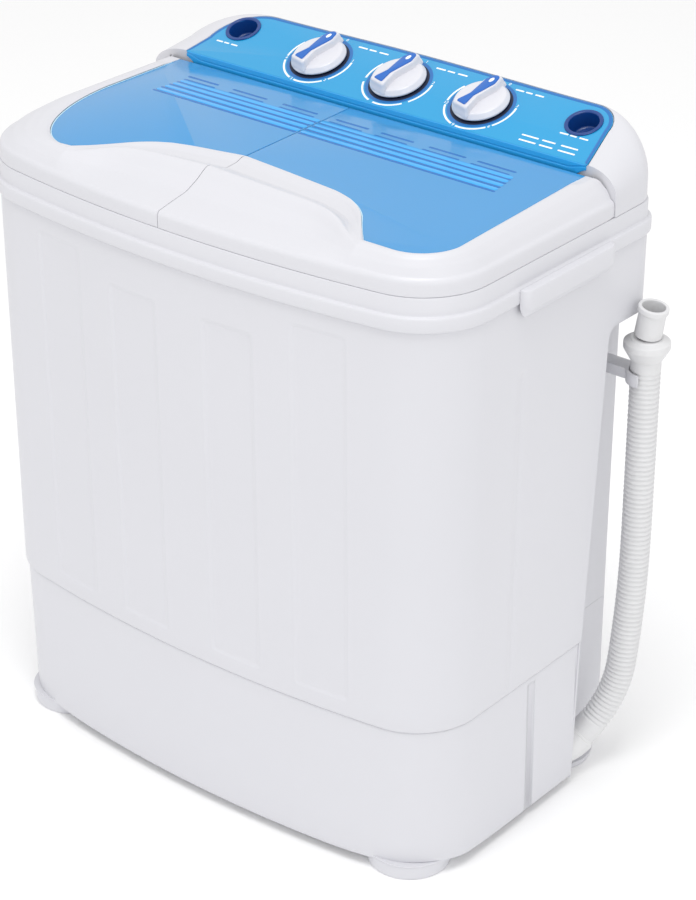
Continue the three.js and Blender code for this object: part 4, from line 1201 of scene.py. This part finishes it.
def inlay(name, u):
    outline = filleted(INLAY, closed=True)
    rings = [lifted(outline * share, n) for share, n in [(1, 17.0), (1, 17.7), (0.97, 18.1), (0.9, 18.25)]]
    plate = lay_on_panel(lofted(f"{name}_blue_inlay", rings, 40), u, KNOB_V, POINTER_LEAN)
    piece(plate, KNOB_BLUE, name, "panel_blue_plastic", f"{name}_knob_inlay")
    oval = circle((0, 0), 1, 40) * (2.0, 3.4) + (0, 17.5)
    dot = lofted(f"{name}_pointer_dot", [lifted(oval, 17.6), lifted(oval, 18.32)], 40)
    piece(lay_on_panel(dot, u, KNOB_V, POINTER_LEAN), PRINT_WHITE, name, "white_plastic")


DIAL_START = 76  # where every pointer stands at rest, in degrees
DIAL_STEP = 60
DIAL_RADIUS = 36.8
RING_END = -208
DIALS = {"spin_timer": "0 1 2 3 4", "drain_selector": "1 2", "wash_timer": "0 3 6 9 12"}
CAPTIONS = [  # short bars in place of words: start and end across the panel, and height up it
    (-228, -200, 26), (198, 230, 31), (165, 229, 15.5), (166, 230, 8.5),
    (120, 153, 70), (24, 62, 70), (-74, -36, 70),
]


def band(inner, outer, from_deg, to_deg, steps=24):
    """A flat curved strip, as an outline."""
    out_and_back = [arc(0, 0, outer, from_deg, to_deg, steps), arc(0, 0, inner, to_deg, from_deg, steps)]
    return np.concatenate(out_and_back)


def print_mark(name, outline, u, v):
    mark = lofted(name, [lifted(outline, -0.3), lifted(outline, 0.18)], 30)
    piece(lay_on_panel(mark, u, v), PRINT_WHITE, "cabinet", "white_plastic")


def dial(name, u):
    """The painted shade round and under the knob's skirt, and the printed ring, broken by its numbers."""
    # a disc of the rim's darker blue, reaching out past the near-black one: painted shade round the knob
    shade = turned(f"{name}_dial_painted_shade", [(5, -0.4), (34.6, -0.4), (34.4, 0.1), (5, 0.1), (5, -0.4)])
    piece(lay_on_panel(shade, u, KNOB_V), RIM_AND_SHADE_BLUE, "cabinet", "panel_blue_plastic")
    # a near-black disc just wider than the skirt: painted shadow of the knob on the panel
    skirt_shade = turned(f"{name}_dial_painted_skirt_shade", [(5, 0.1), (31, 0.1), (30.6, 0.5), (28, 0.7), (5, 0.7), (5, 0.1)])
    piece(lay_on_panel(skirt_shade, u, KNOB_V), PAINTED_SKIRT_SHADE_BLUE, "cabinet", "panel_blue_plastic")
    for k in range(1, 5):
        middle = DIAL_START - DIAL_STEP * k
        strip = band(DIAL_RADIUS - 1, DIAL_RADIUS + 1, middle - 5, max(RING_END, middle - DIAL_STEP + 5))
        print_mark(f"{name}_dial_arc_{k}", strip, u, KNOB_V)
    for k, text in enumerate(DIALS[name].split()):
        number(name, text, DIAL_START - DIAL_STEP * k, u)


def number(name, text, angle_deg, u):
    """A printed dial number, turned from the built-in letters into a mesh."""
    curve = bpy.data.curves.new("number", "FONT")
    curve.body = text
    curve.size = 5 * MM
    curve.extrude = 0.2 * MM
    curve.align_x = "CENTER"
    curve.align_y = "CENTER"
    letters = new_object("number", curve)
    bpy.context.view_layer.update()
    mesh = bpy.data.meshes.new_from_object(letters.evaluated_get(bpy.context.evaluated_depsgraph_get()))
    bpy.data.objects.remove(letters)
    thing = new_object(f"{name}_number_{text}", mesh)
    angle = math.radians(angle_deg)
    lay_on_panel(thing, u + DIAL_RADIUS * math.cos(angle), KNOB_V + DIAL_RADIUS * math.sin(angle))
    piece(thing, PRINT_WHITE, "cabinet", "white_plastic")


def captions():
    """Each caption is three short bars."""
    for k, (start, end, v) in enumerate(CAPTIONS):
        third = (end - start) / 3
        for part, (low, high) in enumerate([(0, 0.9), (1.1, 1.8), (2.1, 3)]):
            half = (high - low) * third / 2
            bar = rounded_rectangle((half, 0), (half, 0.9), 0.6, 4)
            print_mark(f"caption_{k + 1}_{part + 1}", bar, start + third * low, v)


def water_inlet(side, name):
    depth = INLET_DEPTH
    cup = turned(f"{name}_cup", filleted([
        (4, -depth, 0), (INLET_RADIUS - 2, -depth, 2), (INLET_RADIUS, 0, 0.4), (INLET_RADIUS + 2, 0.2, 0.4),
        (INLET_RADIUS + 1.6, 1.4, 0.6), (INLET_RADIUS - 2, 1.4, 1.4), (INLET_RADIUS - 4, WALL - depth, 2.5),
        (4, WALL - depth - 0.6, 0.6), (4, -depth, 0),
    ]), sides=72)
    lay_on_panel(cup, side * INLET_X, INLET_V)
    piece(cup, INLET_BLUE, "cabinet", "inlet_blue_plastic", name)


housing()
panel()
for name, u in KNOB_X.items():
    knob(name, u)
water_inlet(-1, "water_inlet_left")
water_inlet(1, "water_inlet_right")
captions()

# ---- feet, grips and hose holder ----

FOOT_X = {"left": -226, "right": 232}
FOOT_Y = {"front": -120, "rear": 118}
FOOT_TOP = {"front": BASE_LOW.z + 9, "rear": BASE_LOW.z - 0.3}


def foot(name, x, y, top):
    thing = turned(f"{name}_block", filleted([
        (0, 0, 0), (38.5, 0, 0), (41.2, 0, 2), (42.2, top - 3, 0.4), (41.8, top - 2.2, 0.4),
        (42.8, top - 1.4, 0.4), (43.4, top, 0.3), (0, top, 0),
    ]), (x, y), 96, 40)
    piece(thing, WHITE, "cabinet", "white_plastic", name)


def grip(side, name):
    """The ledge a hand lifts by, tapering away at both ends."""
    # how far each corner stands out, and how far it hangs below the flange's ledge
    profile = [(0, 0), (0, 27), (1.2, 28.6), (7.6, 20.8), (8.7, 18), (8.7, 2.4), (7.9, 0.6), (6.2, 0)]
    out, down = np.array(profile).T
    front = GRIP_LOW.y
    rear = GRIP_HIGH.y
    taper = 10
    ends = np.linspace(0, taper, 10)
    rings = []
    for y in np.concatenate([front + ends, np.linspace(front + 28, rear - 28, 6), rear - ends[::-1]]):
        from_end = min(1, min(y - front, rear - y) / taper)
        size = math.sqrt(max(0.02, 1 - (1 - from_end) ** 2))
        z = FLANGE_LEDGE - down * (0.55 + 0.45 * size)
        rings.append(np.c_[HALF_WIDTH + 0.3 + out * size, np.full(len(out), y), z])
    piece(lofted(f"{name}_ledge", rings, 40, side), WHITE, "cabinet", "white_plastic", name)


def drain_elbow():
    """The smooth end of the hose, bending into the body."""
    x, y, z = hose_path[0]
    bend = [(266, 84.8, 33.5), (267, 91, 32.8), (268.6, 98, 33.2), (270.4, 104, 35), (272.2, 108.6, 38)]
    path, _ = smooth_route(bend + [(x - 0.15, y - 0.25, z - 0.4)], 30)
    share = np.linspace(0, 1, len(path))
    radii = 16.2 + 1.6 * smoothstep((0.94 - share) / 0.1)
    radii[-1] = 15.4
    elbow = lofted("drain_elbow_bend", tube_rings(path, radii, 48), 50)
    piece(elbow, HOSE_PLASTIC, "cabinet", "white_plastic", "drain_elbow")


def hose_clip():
    """A bracket from the recess wall with a half ring behind the hose."""
    x, y, _ = HOSE_END
    low, high = (corner.z for corner in box_mm("hose_clip"))
    outline = band(HOSE_RADIUS + 1, HOSE_RADIUS + 4, 80, 280, 40) + (x, y)
    clip = lofted("hose_clip_half_ring", [lifted(outline, z) for z in (low, high)], 40)
    wall = NOTCH_INNER_X + 0.3
    fuse(clip, box_object("stem", (wall, y - 9, low + 0.5), (x - HOSE_RADIUS - 1.8, y + 9, high - 0.5)))
    bevel(clip, 0.7, 2)
    smooth(clip)
    piece(clip, WHITE, "cabinet", "white_plastic", "hose_clip")


for row, y in FOOT_Y.items():
    for side, x in FOOT_X.items():
        foot(f"foot_{row}_{side}", x, y, FOOT_TOP[row])
grip(-1, "carry_grip_left")
grip(1, "carry_grip_right")
hose_clip()
drain_elbow()

# ---- wash tub, pulsator, spin tub and basket ----

def wash_tub():
    def ring(inset, z):
        return lifted(wash_mouth(inset), z)

    low = TUB_LOW.z
    floor = low + WALL
    outside = [ring(24, low), ring(17, low + 1.5), ring(12.5, low + 6), ring(10, low + 16)]
    lip = [ring(0.4, TUB_TOP - 4.7), ring(-WASH_LIP, TUB_TOP - 3), ring(-WASH_LIP, TUB_TOP), ring(3, TUB_TOP)]
    inside = [ring(13, low + 20), ring(15.5, low + 9), ring(20, low + 4.5), ring(27, floor), ring(100, floor)]
    tub = lofted("wash_tub_bowl", outside + lip + inside, 40)
    cut(tub, lofted("shaft_cut", [lifted(circle(WASH_TUB, 9, 40), z) for z in (low - 32, low + 28)]))
    piece(tub, TUB_WHITE, "cabinet", "white_plastic", "wash_tub")


def pulsator():
    """The ribbed disc that stirs the water: six curved vanes on a domed plate."""
    low = box_mm("pulsator")[0].z
    rings = []
    sides = 144
    angles = np.linspace(0, 2 * math.pi, sides, endpoint=False)
    for radius in [84, 87.5, 88, 87, 84, 78, 70, 60, 50, 40, 32, 26, 20, 14, 8, 3]:
        base = low + 4 + 15 * (1 - (radius / 88) ** 1.6)
        vane = np.maximum(0, np.cos(6 * (angles + 0.0035 * radius))) ** 3
        height = 11 * vane * smoothstep((radius - 10) / 24) * smoothstep((86 - radius) / 14)
        z = base + height if rings else np.full(sides, low)
        rings.append(np.c_[circle(WASH_TUB, radius, sides), z])
    disc = lofted("pulsator_disc", rings, 50)
    piece(disc, PANEL_BLUE, "pulsator_drive", "panel_blue_plastic", "pulsator")


def spin_tub():
    radius = SPIN_TUB_RADIUS
    outer = radius + SPIN_LIP
    low = SPIN_LOW.z
    tub = turned("spin_tub_wall", filleted([
        (12, low, 0), (radius - 12, low, 12), (radius - 0.4, TUB_TOP - 5.7, 3), (outer, TUB_TOP - 3, 0.5),
        (outer, TUB_TOP, 0.5), (radius - WALL, TUB_TOP, 1.5), (radius - 14, low + WALL, 10),
        (12, low + WALL, 0), (12, low, 0),
    ]), SPIN_TUB, 96)
    piece(tub, TUB_WHITE, "cabinet", "white_plastic", "spin_outer_tub")


def basket_rod(angle, height):
    """The cutter for one small hole in the basket's wall."""
    outwards = np.array([math.cos(angle), math.sin(angle), 0])
    sideways = np.array([-math.sin(angle), math.cos(angle), 0])
    up = np.array([0, 0, 1])
    middle = np.array([*SPIN_TUB, height])
    hole = circle((0, 0), 2.2, 10)
    return loft([middle + reach * outwards + np.outer(hole[:, 0], sideways) + np.outer(hole[:, 1], up)
                 for reach in (76, 98)])


def spin_basket():
    """The perforated cup: rows of small holes between pressed ribs."""
    low, high = (corner.z for corner in box_mm("spin_basket"))
    sides = 192
    angles = np.linspace(0, 2 * math.pi, sides, endpoint=False)
    wave = 1.2 * np.maximum(0, np.cos(12 * angles)) ** 4
    rings = []
    for radius, z, ribbed in [
        (10, low, 0), (70, low, 0), (78, low + 1, 0), (82, low + 3, 0), (84, low + 8, 0), (85, low + 24, 1),
        (89, high - 30, 1), (89.5, high - 18, 0), (92.8, high - 15, 0), (93, high - 2, 0), (92, high, 0),
        (82, high, 0), (81, high - 1.5, 0), (81, high - 10, 0), (86.4, high - 19, 0), (86, high - 30, 1),
        (82, low + 24, 1), (81, low + 9, 0), (78, low + 4.5, 0), (72, low + 2.6, 0), (10, low + 2.5, 0),
    ]:
        r = radius - wave * ribbed
        rings.append(lifted(np.c_[SPIN_TUB[0] + r * np.cos(angles), SPIN_TUB[1] + r * np.sin(angles)], z))
    basket = lofted("spin_basket_cup", rings, 40)
    hole_angles = [(k + 0.5) * math.pi / 6 for k in range(12)]
    rods = joined([basket_rod(angle, low + 50 + row * 32) for row in range(9) for angle in hole_angles])
    cut(basket, mesh_object("hole_cut", *rods), smooth_deg=40)
    piece(basket, STEEL, "basket_drive", "plain_steel", "spin_basket")


wash_tub()
pulsator()
spin_tub()
spin_basket()

# ---- every CAD node that is still shown ----

SHOWN_NODES = {
    "white_plastic": ["back_cover", "hinge_lug_left", "hinge_lug_centre", "hinge_lug_right"],
    "plain_steel": [
        "wash_motor", "wash_motor_bracket", "pulsator_shaft", "pulsator_gearbox", "spin_motor", "spin_shaft",
        "brake_drum", "brake_lever", "wash_lid_hinge_rod", "spin_lid_hinge_rod",
    ],
    "grey_plastic": [
        "wash_timer_body", "drain_selector_body", "spin_timer_body", "motor_pulley", "pulsator_pulley",
        "lint_filter", "drain_valve_body", "drain_pipe",
    ],
    "black_rubber": [
        "cable_gland", "drive_belt", "drain_plunger",
        "spin_motor_mount_1", "spin_motor_mount_2", "spin_motor_mount_3",
    ],
}

for slot_name, nodes in SHOWN_NODES.items():
    for node in nodes:
        dress(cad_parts[node], ALL_LOOKS[slot_name])

# ---- floor and studio light ----


def studio_floor():
    size = 9000
    corners = [(-size, -size, 0), (size, -size, 0), (size, size, 0), (-size, size, 0)]
    floor = mesh_object("floor", corners, [(0, 1, 2, 3)])
    dress(floor, plastic("studio_floor", colour(254, 254, 254), 0.9, grain=0.0, mottle=0.0))


def soft_light(name, place, size, power):
    """A round area lamp turned towards the middle of the body."""
    data = bpy.data.lights.new(name, "AREA")
    data.shape = "DISK"
    data.size = size
    data.energy = power
    lamp = new_object(name, data)
    lamp.location = place
    aim = Vector((0, 0, 0.35)) - Vector(place)
    lamp.rotation_euler = aim.to_track_quat("-Z", "Y").to_euler()


def studio_world():
    world = bpy.data.worlds.new("studio")
    bpy.context.scene.world = world
    world.use_nodes = True
    background = world.node_tree.nodes["Background"]
    background.inputs["Color"].default_value = (1, 1, 1, 1)
    background.inputs["Strength"].default_value = 0.86


studio_floor()
studio_world()
soft_light("key", (0.5, -0.7, 3.2), 1.5, 32)
soft_light("right_fill", (2.8, -1.6, 1.3), 2.4, 13)
soft_light("left_fill", (-1.9, -2.7, 1.4), 2.2, 8)

bpy.context.scene.view_settings.view_transform = "Standard"
